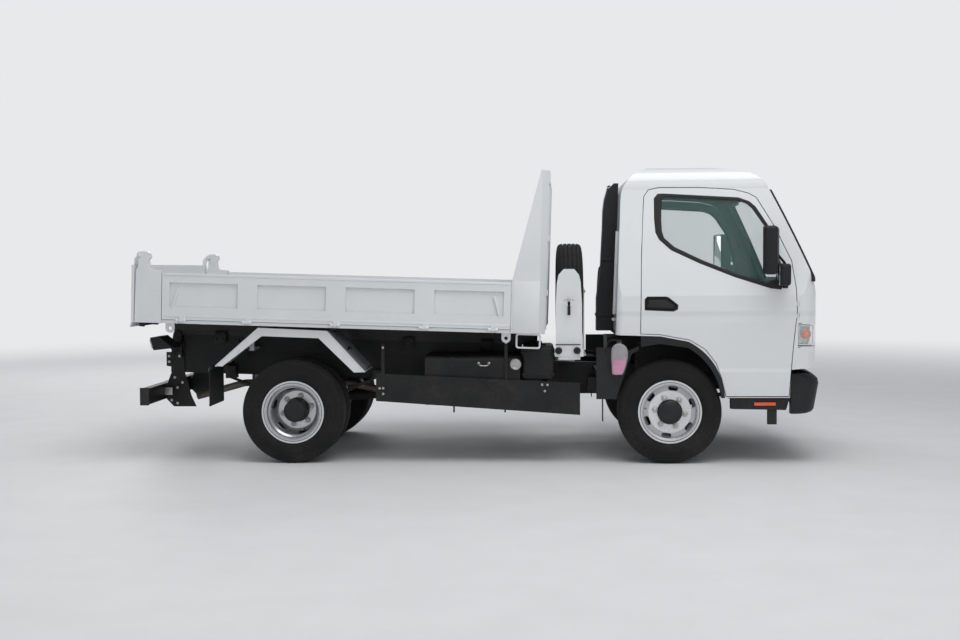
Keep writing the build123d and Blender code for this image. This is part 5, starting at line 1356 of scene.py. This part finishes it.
hook_bolts = []
for x, z in ((-2462, 770), (-2462, 725), (-2380, 770), (-2420, 600), (-2400, 520), (-2360, 560), (-2448, 420),
        (-2400, 396)):
    hook_bolts += bolts([(x, -393, z)], (0, -1, 0), 0.85)
hook_bolts.append(block(-2512, -2440, 462, 520, -393, -399, 2))
for y in (-360, -410):
    hook_bolts += bolts([(-2560, y, 491)], (-1, 0, 0), 0.9)
dress_pair(hook_bolts, "rear_guard_bolts", "chassis", zinc_plate)
beam_ends = [block(-2566, -2496, 424, 558, -796, -806, 3, steps=3)]
dress_pair(beam_ends, "rear_guard_ends", "chassis", seal_rubber)

# %% [markdown]
# Each tail lamp is one block with lenses for turn, stop and reverse. Its face slopes,
# so the lenses are drawn with a helper that measures along that face and out from it.
# The number plate stays blank.

# %% Tail lamps and rear plate
lens_slope = math.atan2(26, 96)


def on_lamp(up, out):
    """A spot on the lamp's sloping rear face, in X and Z."""
    return (-2466 + 26 * up - out * math.cos(lens_slope), 942 - 96 * up - out * math.sin(lens_slope))


lens_spans = ((-626, -700, orange_lens, "turn"), (-704, -776, red_lens, "stop"),
    (-780, -844, white_lens, "reverse"))
for inner_y, outer_y, lens_finish, name in lens_spans:
    corners = [on_lamp(0.1, 0.5), on_lamp(0.9, 0.5), on_lamp(0.84, 12), on_lamp(0.16, 12)]
    dress_pair([plate(corners, inner_y, outer_y, 3, steps=3)], f"{name}_lenses", "chassis",
        lens_finish)
rear_lamp_parts = []
for y in (-702, -778):
    rear_lamp_parts.append(plate([on_lamp(0.02, 0), on_lamp(0.98, 0), on_lamp(0.92, 14), on_lamp(0.08, 14)],
        y - 2, y + 2, 1))
rear_lamp_parts += bolts([(-2392, -420, 812), (-2392, -420, 842)], (0, -1, 0), 0.8)
dress_pair(rear_lamp_parts, "lamp_frames", "chassis", black_moulding)
rear_plate = [block(-165, 165, 434, 546, -2561, -2565, 1.2, "yz")]
dress([hollow_box(-170, 170, 428, 552, 9, 9, -2561, -2568, 1.2, "yz")], "rear_plate_frame", "chassis",
    black_moulding)
dress(rear_plate, "rear_plate", "chassis", cab_paint)

# %% [markdown]
# Clamps and rolled seams break up the long exhaust pipe. Each is a small section
# set round the pipe's own centre line, which needs no cutting and stays round.

# %% Exhaust
rings = []
for x in (-214, -246, -720, -746):
    rings.append(turned([(-4, 60), (-4, 74.5), (4, 74.5), (4, 60)], (x, -215, 470), (1, 0, 0), 40, 1))
rings.append(turned([(-14, 28.5), (-14, 42), (0, 46), (0, 28.5)], (640, -215, 470), (1, 0, 0), 24, 1))
for x, z in ((-1080, 536), (-1700, 540), (-2150, 486)):
    rings.append(turned([(-9, 28.4), (-9, 33), (9, 33), (9, 28.4)], (x, -215, z), (1, 0, 0.02), 24, 1))
dress(rings, "exhaust_rings", "chassis", dull_exhaust)

# %% [markdown]
# The spare wheel stands behind the cab, clamped by a rod with a wing nut. Its white
# plate rests on two rubber stops, and the slot in the plate is not cut: a thin dark
# inlay on the plate stands for it, painted shade where the opening would be.

# %% Spare wheel carrier
carrier_parts = [turned([(0, 0), (0, 16), (34, 16), (36, 13), (36, 0)], (700, -560, 1250), (1, 0, 0), 20)]
for number in range(6):
    angle = math.radians(60 * number + 22)
    carrier_parts += bolts([(672, -560 + 76 * math.sin(angle), 1250 + 76 * math.cos(angle))], (1, 0, 0), 1.1)
for y, z in ((-620, 800), (-500, 800), (-620, 1270), (-500, 1270)):
    carrier_parts += bolts([(804, y, z)], (1, 0, 0), 0.9)
wing_nut = [turned([(0, 0), (0, 15), (10, 15), (12, 12), (12, 0)], (677, -984, 1216), (0, -1, 0), 20)]
for side in (-1, 1):
    wing_nut.append(tube([(677, -990, 1216), (677 + side * 24, -992, 1226), (677 + side * 38, -990, 1206)],
        3.5, 6, 3))
dress(carrier_parts + wing_nut, "spare_clamp", "chassis", zinc_plate)
stops = [turned([(0, 24), (4, 26), (10, 26), (14, 22), (14, 9), (18, 8), (18, 0)], (x, -984, 845), (0, -1, 0),
    28) for x in (601, 735)]
stops.append(block(578, 760, 884, 892, -983, -985.5, 0.8))
# The dark inlay is painted shade standing for the slot in the plate.
stops.append(block(666, 688, 1104, 1172, -983, -985, 0.8))
dress(stops, "spare_plate_stops", "chassis", black_moulding)

# %% [markdown]
# Seats. Foam under cloth swells between its seams, so each cushion starts a little
# thin, is remeshed into even faces and blown up by the cloth simulation, with a cap
# on how far any point may go. The base, the back and the headrest are simulated
# once, at the driver's width, and narrowed for the other two seats. The sewn
# channels and the piping come after that, because the remesh would wipe them out.

# %% Cloth for the seats


def seat_cloth(name, colour, accent):
    """A woven cloth: two crossed sets of threads on the piece's own coordinates."""
    material, tree, shader = new_material(name)
    place = made(tree, "TexCoord").outputs["Object"]
    threads = []
    for direction in ("X", "Y", "Z"):
        wave = made(tree, "TexWave", Scale=190, Distortion=0.6, Vector=place)
        wave.bands_direction = direction
        threads.append(wave.outputs["Fac"])
    crossing = times(tree, threads[1], minus(tree, 1.0, threads[0]))
    weave = math_node(tree, "MAXIMUM", times(tree, threads[0], threads[2]), crossing)
    flecks = ramp_node(tree, noise_node(tree, 320, 2), 0.55, 0.7)
    worn = ramp_node(tree, noise_node(tree, 7, 4), 0.4, 0.8)
    shade = mix_colours(tree, weave, tinted(colour, 0.55), (*colour, 1))
    shade = mix_colours(tree, times(tree, flecks, 0.5), shade, (*accent, 1))
    shade = mix_colours(tree, times(tree, worn, 0.25), shade, tinted(colour, 1.7))
    fill_in(tree, shader, Base_Color=shade, Roughness=plus(tree, times(tree, weave, 0.1), 0.8),
        Sheen_Weight=0.35, Normal=bump_node(tree, weave, 0.0006, strength=0.7))
    return material


cushion_cloth = seat_cloth("seat_cloth", (0.085, 0.09, 0.10), (0.20, 0.22, 0.26))
piping_vinyl = hard_finish("seat_piping_vinyl", (0.03, 0.03, 0.033), 0.5, vary=0.05, dust=0.0, grain=900,
    grain_depth=0.0001)

# %% [markdown]
# The cushions could be sculpted by hand, but pressure inside cloth rounds foam more
# naturally. The simulation needs even faces, so each form is remeshed first.

# %% Cushions by simulation


def blown(piece, voxel, cap, still=None):
    """Remesh the piece and let pressure swell it, by no more than the cap in millimetres."""
    wake(piece)
    remesh = piece.modifiers.new("even faces", "REMESH")
    remesh.mode = "VOXEL"
    remesh.voxel_size = voxel * MM
    bpy.ops.object.modifier_apply(modifier="even faces")
    smooth = piece.modifiers.new("settle", "SMOOTH")
    smooth.iterations = 6
    bpy.ops.object.modifier_apply(modifier="settle")
    start = [vertex.co.copy() for vertex in piece.data.vertices]
    cloth = piece.modifiers.new("swell", "CLOTH")
    cloth.settings.quality = 4
    cloth.settings.use_pressure = True
    cloth.settings.uniform_pressure_force = 4
    cloth.settings.tension_stiffness = 12
    cloth.settings.compression_stiffness = 12
    cloth.settings.bending_stiffness = 0.6
    cloth.settings.effector_weights.gravity = 0
    cloth.point_cache.frame_end = 20
    for step in range(1, 21):
        bpy.context.scene.frame_set(step)
    bpy.ops.object.modifier_apply(modifier="swell")
    bpy.context.scene.frame_set(1)
    for vertex, before in zip(piece.data.vertices, start):
        travel = vertex.co - before
        if travel.length > cap * MM:
            travel *= cap * MM / travel.length
        vertex.co = before + travel
    finer = piece.modifiers.new("finer", "SUBSURF")
    finer.levels = finer.render_levels = 1
    bpy.ops.object.modifier_apply(modifier="finer")
    return piece


def sewn(piece, channels, depth, reach=11):
    """Press sewn channels into the cushion along lines of constant Y."""
    for vertex, normal in [(v, v.normal.copy()) for v in piece.data.vertices]:
        pull = sum(math.exp(-((vertex.co.y / MM - y) / reach) ** 2) for y in channels)
        vertex.co -= normal * depth * MM * pull
    return piece


base_form = plate([(1200, 1002), (1345, 997), (1490, 990), (1625, 1022), (1628, 1084), (1600, 1116),
    (1330, 1108), (1240, 1110), (1196, 1080)], -232, 232, 22, steps=3)
back_form = plate([(1196, 1120), (1262, 1130), (1272, 1190), (1196, 1560), (1176, 1626), (1150, 1640),
    (1124, 1622), (1118, 1560), (1176, 1190)], -226, 226, 24, steps=3)
head_form = plate([(1110, 1700), (1158, 1704), (1160, 1800), (1148, 1838), (1116, 1838), (1108, 1800)], -112,
    112, 18, steps=3)
base_foam = sewn(blown(base_form, 13, 14), (-150, 150), 5)
back_foam = sewn(blown(back_form, 13, 14), (-140, 140), 5)
head_foam = blown(head_form, 12, 10)
seat_places = ((500, 1.0), (0, 0.84), (-480, 0.96))


def all_seats(foam):
    copies = []
    for middle, share in seat_places:
        copy = twin(foam)
        copy.data.transform(Matrix.Translation((0, middle * MM, 0)) @ Matrix.Diagonal((1, share, 1, 1)))
        copies.append(copy)
    return copies


def piping(foam, outline, radius=4):
    """A thin welt that is laid on the cushion round the given outline."""
    laid = []
    for place in outline:
        hit, spot, normal, _ = foam.closest_point_on_mesh(Vector(place) * MM)
        laid.append((spot + normal * 1.5 * MM) / MM)
    return tube(laid + laid[:3], radius, 2)


def round_box(u_a, u_b, v_a, v_b, corner, place):
    """Points round a rectangle with rounded corners, each put in space by place."""
    points = []
    for u, v, first in ((u_b - corner, v_b - corner, 0), (u_a + corner, v_b - corner, 90),
            (u_a + corner, v_a + corner, 180), (u_b - corner, v_a + corner, 270)):
        for turn in (0, 30, 60, 90):
            angle = math.radians(first + turn)
            points.append((u + corner * math.cos(angle), v + corner * math.sin(angle)))
    spaced = []
    for start, stop in zip(points, points[1:] + points[:1]):
        count = max(1, round(math.dist(start, stop) / 40))
        spaced += [place(*(a + (b - a) * k / count for a, b in zip(start, stop))) for k in range(count)]
    return spaced


welts = [piping(base_foam, round_box(1235, 1600, -190, 190, 60, lambda u, v: (u, v, 1140))),
    piping(back_foam, round_box(-185, 185, 1180, 1590, 60, lambda u, v: (1262 - (v - 1180) * 0.2, u, v)))]
welt_group = joined(welts)
for foam, name, fill in ((base_foam, "seat_bases", 0.7), (back_foam, "seat_backs", 0.65),
        (head_foam, "seat_headrests", 0.75)):
    cushion = dress(all_seats(foam), name, "cab", cushion_cloth, 60)
    print(name, "faces:", len(cushion.data.polygons))
    bpy.data.objects.remove(foam)
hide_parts("seats")
dress(all_seats(welt_group), "seat_piping", "cab", piping_vinyl, 60)
bpy.data.objects.remove(welt_group)

# %% [markdown]
# Under and beside the cushions: plinths that stand on the cab's floor, the rods of
# the headrests, recliner levers, and the belts, which are flat straps and are
# modelled directly.

# %% Seat frames and belts
frames, levers = [], []
for middle, share in seat_places:
    half = 225 * share
    frames.append(plate([(1196, 992), (1345, 987), (1490, 962), (1618, 1006), (1600, 1030), (1210, 1022)],
        middle - half, middle + half, 4))
    for y in (middle - 53, middle + 53):
        frames.append(tube([(1134, y, 1600), (1134, y, 1660), (1134, y, 1730)], 6, 2))
    levers.append(block(1188, 1262, 1056, 1128, middle + half + 4, middle + half + 16, 6, steps=3))
    levers.append(tube([(1240, middle + half + 16, 1100), (1300, middle + half + 20, 1108),
        (1352, middle + half + 20, 1128)], 8, 2))
dress(frames, "seat_plinths", "cab", seal_rubber)
dress(levers, "seat_levers", "cab", dash_moulding)

belts, buckles = [], []
for middle, hand in ((500, 1), (-480, -1)):
    outer = hand * 872
    belts.append(plate([(1090, 1700), (1136, 1700), (1150, 1080), (1104, 1080)], outer, outer - hand * 2.2,
        0.5))
    belts.append(block(1086, 1142, 1690, 1732, outer + hand * 3, outer - hand * 14, 5, steps=3))
    belts.append(block(1096, 1160, 1040, 1098, outer + hand * 3, outer - hand * 40, 8, steps=3))
    inner = middle - hand * 262
    buckles.append(block(1206, 1232, 1090, 1180, inner - 10, inner + 10, 4, steps=3))
    belts.append(plate([(1204, 1010), (1230, 1010), (1230, 1096), (1208, 1096)], inner - 2, inner + 2, 0.5))
dress(belts, "seat_belts", "cab", piping_vinyl)
dress(buckles, "belt_buckles", "cab", seal_rubber)

# %% [markdown]
# Dashboard, wheel and controls. The dials have plain ticks and a needle and no
# lettering. The levers, the pedals and the wheel's pad are generic.

# %% Dashboard and controls
column_base, column_head = Vector((2190, 440, 1080)), Vector((1905, 440, 1260))
column_way = (column_head - column_base).normalized()
pad = [turned([(-18, 0), (-18, 60), (-6, 68), (8, 66), (16, 52), (18, 0)], column_head, column_way, 40)]
for turn in (0, 90, 180):
    angle = math.radians(turn + 180)
    across = Vector((0, 1, 0))
    down = column_way.cross(across)
    out = across * math.cos(angle) + down * math.sin(angle)
    pad.append(tube([column_head + out * 40 - column_way * 6, column_head + out * 130 - column_way * 4,
        column_head + out * 202 - column_way * 2], 12, 3))
dress(pad, "wheel_pad", "steering_wheel", dash_moulding)
shroud = [turned([(60, 0), (60, 52), (110, 62), (210, 60), (262, 50), (262, 0)], column_base, column_way, 32)]
for side in (-1, 1):
    start = column_base + column_way * 258
    shroud.append(tube([start + Vector((0, side * 40, 6)), start + Vector((-6, side * 120, 26)),
        start + Vector((-10, side * 170, 34))], 6.5, 3))
    shroud.append(tube([start + Vector((-9, side * 150, 31)), start + Vector((-11, side * 190, 38))], 9, 3))
dress(shroud, "column_shroud", "cab", dash_moulding)

dials, faces, marks = [], [], []
face_lean = Vector((-0.93, 0, 0.36)).normalized()
for y, radius in ((515, 46), (372, 46), (444, 26)):
    centre = Vector((2058, y, 1292))
    dials.append(turned([(0, radius - 3), (0, radius + 3), (14, radius + 6), (15, radius), (4, radius - 3)],
        centre, face_lean, 40))
    faces.append(turned([(1, 0), (1, radius - 1), (3, radius - 1), (3, 0)], centre, face_lean, 40))
    level = Vector((0, 1, 0))
    rise = face_lean.cross(level)
    for tick in range(-5, 6):
        angle = math.radians(tick * 24)
        way = level * math.sin(angle) + rise * math.cos(angle) * -1
        spot = centre + face_lean * 4
        marks.append(tube([spot + way * (radius - 12), spot + way * (radius - 5)], 0.9, 1, 2))
    needle = level * math.sin(-2.0) - rise * math.cos(-2.0)
    marks.append(tube([centre + face_lean * 6 - needle * 6, centre + face_lean * 6 + needle * (radius - 9)],
        1.1, 1, 2))
cluster = plate([(300, 1240), (590, 1240), (590, 1338), (560, 1350), (330, 1350), (300, 1338)], 2062, 2070, 2,
    "yz")
for vertex in cluster.data.vertices:
    vertex.co.x += (vertex.co.z - 1.292) * 0.39
dress([cluster] + dials, "dial_hood", "cab", dash_moulding)
dress(faces, "dial_faces", "cab", seal_rubber)
dress(marks, "dial_marks", "cab", cab_paint)

fittings, dark_fittings = [], []
for y in (-700, -80, 80, 700):
    fittings.append(hollow_box(y - 62, y + 62, 1196, 1256, 8, 7, 2040, 2062, 2, "yz"))
    for level in range(4):
        dark_fittings.append(block(y - 54, y + 54, 1207 + level * 11, 1211 + level * 11, 2046, 2062, 1, "yz"))
fittings.append(block(-150, 150, 1050, 1180, 2030, 2068, 6, "yz", 3))
dark_fittings.append(block(-92, 92, 1120, 1168, 2026, 2031, 2, "yz"))
for y in (-70, 0, 70):
    fittings.append(turned([(0, 0), (0, 19), (16, 16), (18, 12), (18, 0)], (2030, y, 1086), (-1, 0, 0), 24))
fittings.append(hollow_box(-560, -230, 1052, 1170, 5, 5, 2026, 2034, 1, "yz"))
fittings.append(block(-440, -350, 1140, 1156, 2018, 2030, 3, "yz"))
dress(fittings, "dash_fittings", "cab", dash_moulding)
dress(dark_fittings, "dash_slots", "cab", seal_rubber)

sticks = [tube([(1840, 205, 985), (1830, 205, 1120), (1800, 215, 1245)], 9, 3),
    turned([(-26, 0), (-26, 20), (-8, 27), (14, 26), (26, 14), (28, 0)], (1798, 216, 1262), (0.1, 0, 1), 28),
    turned([(0, 62), (4, 62), (26, 40), (44, 20), (60, 12), (60, 0), (0, 0)], (1842, 205, 986), (0, 0, 1),
    32), tube([(1560, 225, 1010), (1590, 225, 1130), (1690, 225, 1190)], 11, 3)]
for y, x in ((360, 2010), (470, 2010), (590, 2020)):
    sticks.append(tube([(x + 60, y, 1120), (x + 20, y, 1050), (x, y, 1020)], 8, 2))
    sticks.append(plate([(x - 16, 994), (x + 6, 1052), (x + 14, 1050), (x - 8, 990)], y - 34, y + 34, 3))
dress(sticks, "levers_and_pedals", "cab", seal_rubber)
floor_mat = [plate([(1640, 988), (2040, 985), (2040, 993), (1640, 996)], -780, 780, 2)]
dress(floor_mat, "cab_floor_mat", "cab", seal_rubber)

# %% [markdown]
# Inside each door lie a lining, an arm rest, a winder, the frame of the pull and a
# speaker. They are drawn upright, like the window's rubber, and leant with the door.

# %% Door trims
trim_outline = [(1262, 1540), (1420, 1500), (1640, 1420), (1880, 1320), (2130, 1240), (2210, 1180),
    (2210, 640), (2200, 660), (1880, 640), (1760, 760), (1600, 900), (1330, 950)]
trim = plate(dense(trim_outline), -cab_half + 42, -cab_half + 52, 2)
arm_rest = plate([(1420, 1096), (1860, 1080), (1880, 1112), (1860, 1140), (1430, 1150), (1410, 1122)],
    -cab_half + 50, -cab_half + 104, 12, steps=4)
winder = [turned([(0, 0), (0, 26), (14, 24), (18, 18), (18, 0)], (1960, -cab_half + 52, 1010), (0, 1, 0), 28),
    tube([(1960, -cab_half + 66, 1010), (1900, -cab_half + 74, 985), (1856, -cab_half + 76, 968)], 8, 2),
    turned([(0, 0), (0, 13), (34, 11), (36, 0)], (1856, -cab_half + 72, 968), (0, 1, 0), 20),
    hollow_box(1300, 1420, 1190, 1262, 12, 12, -cab_half + 50, -cab_half + 62, 2),
    block(1330, 1400, 1214, 1238, -cab_half + 52, -cab_half + 60, 4),
    turned([(0, 0), (0, 78), (4, 80), (8, 74), (3, 66), (3, 0)], (1800, -cab_half + 51, 850), (0, 1, 0), 40)]
for piece in [trim, arm_rest] + winder:
    leant(piece)
dress_pair([trim, arm_rest], "door_trims", "door_{hand}", dash_moulding)
dress_pair(winder, "door_fittings", "door_{hand}", seal_rubber)

# %% [markdown]
# Visors and the inner mirror hang from the front edge of the roof. The wheel arches
# get a black lining that follows the arch, so no daylight shows above the tyre.

# %% Sun visors, inner mirror and the wheel arch lining
visor_parts = []
for y_a, y_b in ((-700, -190), (190, 700)):
    visor_parts.append(plate([(1900, 2086), (1906, 2096), (2046, 2040), (2042, 2030)], y_a, y_b, 3))
visor_parts.append(tube([(2040, 0, 2060), (2052, 0, 2010), (2050, 0, 1985)], 6, 2))
visor_parts.append(block(2036, 2052, 1936, 1990, -110, 110, 6, steps=3))
dress(visor_parts, "visors_and_mirror", "cab", trim_lining)

arch_run = [(1722, 762), (1650, 840), (1560, 886), (1440, 905), (1330, 905), (1215, 880)]
inner_run = [(x + (5 if x > 1500 else 0), z + 5) for x, z in arch_run]
arch_lining = [plate(arch_run + inner_run[::-1], -904, -470, 1.5),
    plate([(1190, 640), (1215, 884), (1440, 908), (1560, 890), (1650, 844), (1722, 764), (1770, 664),
    (1760, 640)], -450, -454, 1)]
dress_pair(arch_lining, "arch_linings", "cab", seal_rubber)

# %% [markdown]
# The bed's hardware. The tailgate hangs from two pins in the rounded post heads and
# is held below by hooks, so it gets washers, cotter pins and a latch rod. The
# headboard gets its frame of folded steel and a lip along its top.

# %% Tailgate, posts and headboard
pin_x, pin_z = on_deck(-2512, 494)
pins = [turned([(0, 0), (0, 17), (3, 17), (4, 14), (4, 10), (9, 9), (10, 7), (10, 0)], (pin_x, -981, pin_z),
    (0, -1, 0), 24), tube([(pin_x - 13, -988, pin_z + 2), (pin_x, -988, pin_z),
    (pin_x + 13, -988, pin_z - 2)], 1.6, 2)]
dress_pair(pins, "tailgate_pins", "bed", bed_paint)
ribs = []
for y_a, y_b in ((-940, -505), (-455, -25)):
    ribs.append(hollow_box(y_a, y_b, 60, 372, 16, 16, -2554, -2561, 1.2, "yz"))
for piece in ribs:
    for vertex in piece.data.vertices:
        along, up = vertex.co.x / MM, vertex.co.z / MM
        x, z = on_deck(along, up)
        vertex.co.x, vertex.co.z = x * MM, z * MM
dress_pair(ribs, "tailgate_folds", "tailgate", bed_paint)
latch = []
rod_low = on_deck(-2500, -18)
latch.append(tube([(rod_low[0], -900, rod_low[1]), (rod_low[0], 0, rod_low[1]),
    (rod_low[0], 900, rod_low[1])], 11, 3, 2))
for y in (-930, 930):
    latch.append(plate([(-2520, -30), (-2480, -34), (-2474, 6), (-2492, 20), (-2500, 4), (-2516, 2)], y - 7,
        y + 7, 2, "deck"))
for y in (-600, -200, 200, 600):
    latch.append(block(-2520, -2480, -34, 0, y - 5, y + 5, 2, "deck"))
dress(latch, "tailgate_latch_rod", "bed", chassis_paint)

corner_plates = [block(262, 456, 6, 384, -979, -984, 2, "deck")]
dress_pair(corner_plates, "headboard_corners", "bed", bed_paint)
head_parts = []
for y in (-900, 900):
    low_x, low_z = on_deck(504, 30)
    high_x, high_z = on_deck(504, 1180)
    head_parts.append(tube([(low_x, y, low_z), (high_x, y, high_z)], 7, 2, 2))
for up in (300, 700, 1120):
    x, z = on_deck(503, up)
    head_parts.append(block(x - 1, x + 12, z - 22, z + 22, -925, 925, 3))
dress(head_parts, "headboard_frame", "bed", bed_paint)
top_lip = block(452, 505, 1186, 1203, -925, 925, 5, "deck", 3)
dress([top_lip], "headboard_lip", "bed", bed_paint)

# %% [markdown]
# A dump bed's floor is scratched bare by its loads. Stretched noise makes the scratches
# and broad noise decides where they lie. The floor is a thin sheet of its own, so the
# paint of the bed's frame stays as it is.

# %% Load floor, worn bare down the middle


def worn_floor():
    """Paint with long scratches down to bare metal, which is tinted with rust."""
    material, tree, shader = new_material("load_floor_paint")
    scratches = ramp_node(tree, noise_node(tree, 30, 6, 0.7, (0.6, 9, 1)), 0.52, 0.62)
    patches = ramp_node(tree, noise_node(tree, 2.2, 6), 0.45, 0.68)
    bare = times(tree, scratches, patches)
    rust = ramp_node(tree, noise_node(tree, 9, 7), 0.5, 0.75)
    metal = mix_colours(tree, rust, (0.34, 0.33, 0.32, 1), (0.20, 0.095, 0.045, 1))
    shade = mix_colours(tree, bare, (0.74, 0.755, 0.765, 1), metal)
    dusty = place_group(tree, dust_group, Colour=shade, Dust_Colour=(0.46, 0.41, 0.34, 1), Amount=0.5,
        Reach=2.6)
    gouges = made(tree, "Bump", Distance=0.0006, Height=bare)
    gouges.invert = True
    fill_in(tree, shader, Base_Color=dusty["Colour"], Metallic=times(tree, bare, 0.6),
        Roughness=plus(tree, times(tree, bare, 0.1), 0.42), Normal=gouges.outputs["Normal"])
    return material


floor_skin = worn_floor()
deck_sheet = block(-2525, 455, 40.2, 42.2, -925, 925, 0.5, "deck")
dress([deck_sheet], "load_floor_sheet", "bed", floor_skin)

# %% [markdown]
# The hoist has a bolted gland ring at the mouth of the barrel, pins at its foot, and a
# pump with its pipe. The ring is spun round the barrel's own direction and rides with
# it, because the barrel swings when the bed tips.

# %% Hoist: gland ring, pins and pump
hoist_from, hoist_to = Vector((-600, 0, 620)), Vector((-1600, 0, 900))
hoist_way = (hoist_to - hoist_from).normalized()
gland = [turned([(792, 56), (792, 66), (800, 68), (846, 68), (852, 62), (853, 30), (851, 29)], hoist_from,
    hoist_way, 40)]
for number in range(8):
    angle = number * math.pi / 4
    side = Vector((0, math.cos(angle), 0)) + hoist_way.cross(Vector((0, 1, 0))) * math.sin(angle)
    gland += bolts([hoist_from + hoist_way * 852 + side * 54], hoist_way, 0.7)
gland.append(turned([(0, 0), (0, 16), (18, 16), (20, 12), (20, 0)],
    hoist_from + hoist_way * 130 + Vector((0, 0, 50)), (0, 0, 1), 20))
dress(gland, "hoist_gland", "hoist_barrel", zinc_plate)
pins = []
for side in (-1, 1):
    pins.append(turned([(0, 0), (0, 24), (6, 24), (7, 20), (7, 0)], hoist_from + Vector((0, side * 49, 0)),
        (0, side, 0), 24))
dress(pins, "hoist_foot_pins", "chassis", zinc_plate)
pump = [block(-540, -330, 560, 660, -250, -130, 12, steps=3),
    turned([(0, 0), (0, 44), (120, 44), (124, 38), (124, 0)], (-330, -190, 610), (1, 0, 0), 32),
    tube([(-540, -190, 600), (-620, -180, 570), (-660, -120, 560), (-640, -70, 600)], 11, 3)]
pump += bolts([(-540, -230, 580), (-540, -230, 640), (-540, -150, 580), (-540, -150, 640)], (-1, 0, 0), 0.9)
dress(pump, "hoist_pump", "chassis", rough_casting)

# %% [markdown]
# The washer bottle is the one spot of colour on the truck's flank: a milky bottle
# with rounded shoulders, its cap, and pink fluid up to the middle. The fluid is a
# closed body inside the bottle, a little smaller all round.

# %% Washer bottle with its fluid
bottle_outline = [(992, 664), (1062, 662), (1074, 668), (1096, 734), (1107, 790), (1109, 834), (1098, 866),
    (1078, 884), (1056, 892), (1032, 892), (1010, 882), (994, 862), (988, 836), (986, 780)]
shell = plate(bottle_outline, -896, -962, 14, steps=5)
neck = turned([(-6, 0), (-6, 17), (8, 17), (8, 0)], (1046, -929, 896), (0, 0, 1), 28)
fluid_outline = [(995, 668), (1060, 666), (1070, 671), (1091, 736), (1098, 772), (992, 768)]
fluid = plate(fluid_outline, -899, -959, 11, steps=4)
bottle = dress([shell, neck], "bottle_shell", "chassis", milky_bottle, 50)
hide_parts("washer_bottle")
dress([fluid], "bottle_fluid", "chassis", pink_fluid, 50)
cap_parts = [turned([(-2, 0), (-2, 22), (14, 21), (17, 17), (17, 0)], (1046, -929, 902), (0, 0, 1), 28),
    tube([(1030, -929, 914), (1000, -930, 924), (966, -920, 906), (950, -900, 850), (948, -890, 760)], 3.5,
    2), block(984, 1000, 800, 832, -888, -899, 2), block(1090, 1106, 800, 832, -888, -899, 2)]
dress(cap_parts, "bottle_cap", "chassis", seal_rubber)

# %% [markdown]
# The back of the cab and its corners: a rolled rib round the rear wall, the louvres
# of the intake duct with its clamps, and a grab handle.

# %% Back of the cab and the intake duct
duct_ribs = []
for index in range(22):
    z = 1640 + index * 20
    reach = 951 if z < 1872 else 951 + (z - 1872) * 11 / 88 if z < 1960 else 962 + (z - 1960) * 23 / 80
    duct_ribs.append(block(reach - 7, reach + 12, z, z + 8, -482, -618, 2.5, steps=2))
for z in (1080, 1500):
    x = 898 + (z - 1220) * 30 / 211 if z > 1220 else 896
    duct_ribs.append(block(x - 5, 1052 if z > 1400 else 1020, z, z + 22, -468, -632, 3, steps=2))
dress(duct_ribs, "duct_louvres", "cab", black_moulding)
rear_wall = []
for y in (-720, 720):
    rear_wall.append(tube([(1022, y, 1100), (1032, y, 1360), (1046, y, 1720)], 12, 3))
rear_wall.append(tube([(1019, -700, 1060), (1019, 0, 1060), (1019, 700, 1060)], 12, 3))
dress(rear_wall, "rear_wall_ribs", "cab", cab_paint)
grab = [tube([(1022, 760, 1180), (985, 760, 1190), (980, 760, 1240), (992, 760, 1420), (1002, 760, 1460),
    (1034, 760, 1470)], 11, 3)]
dress(grab, "rear_grab_handle", "cab", black_moulding)

# %% Removing the master bolt and tyre
for master in (bolt_master, tyre_master):
    bpy.data.objects.remove(master)
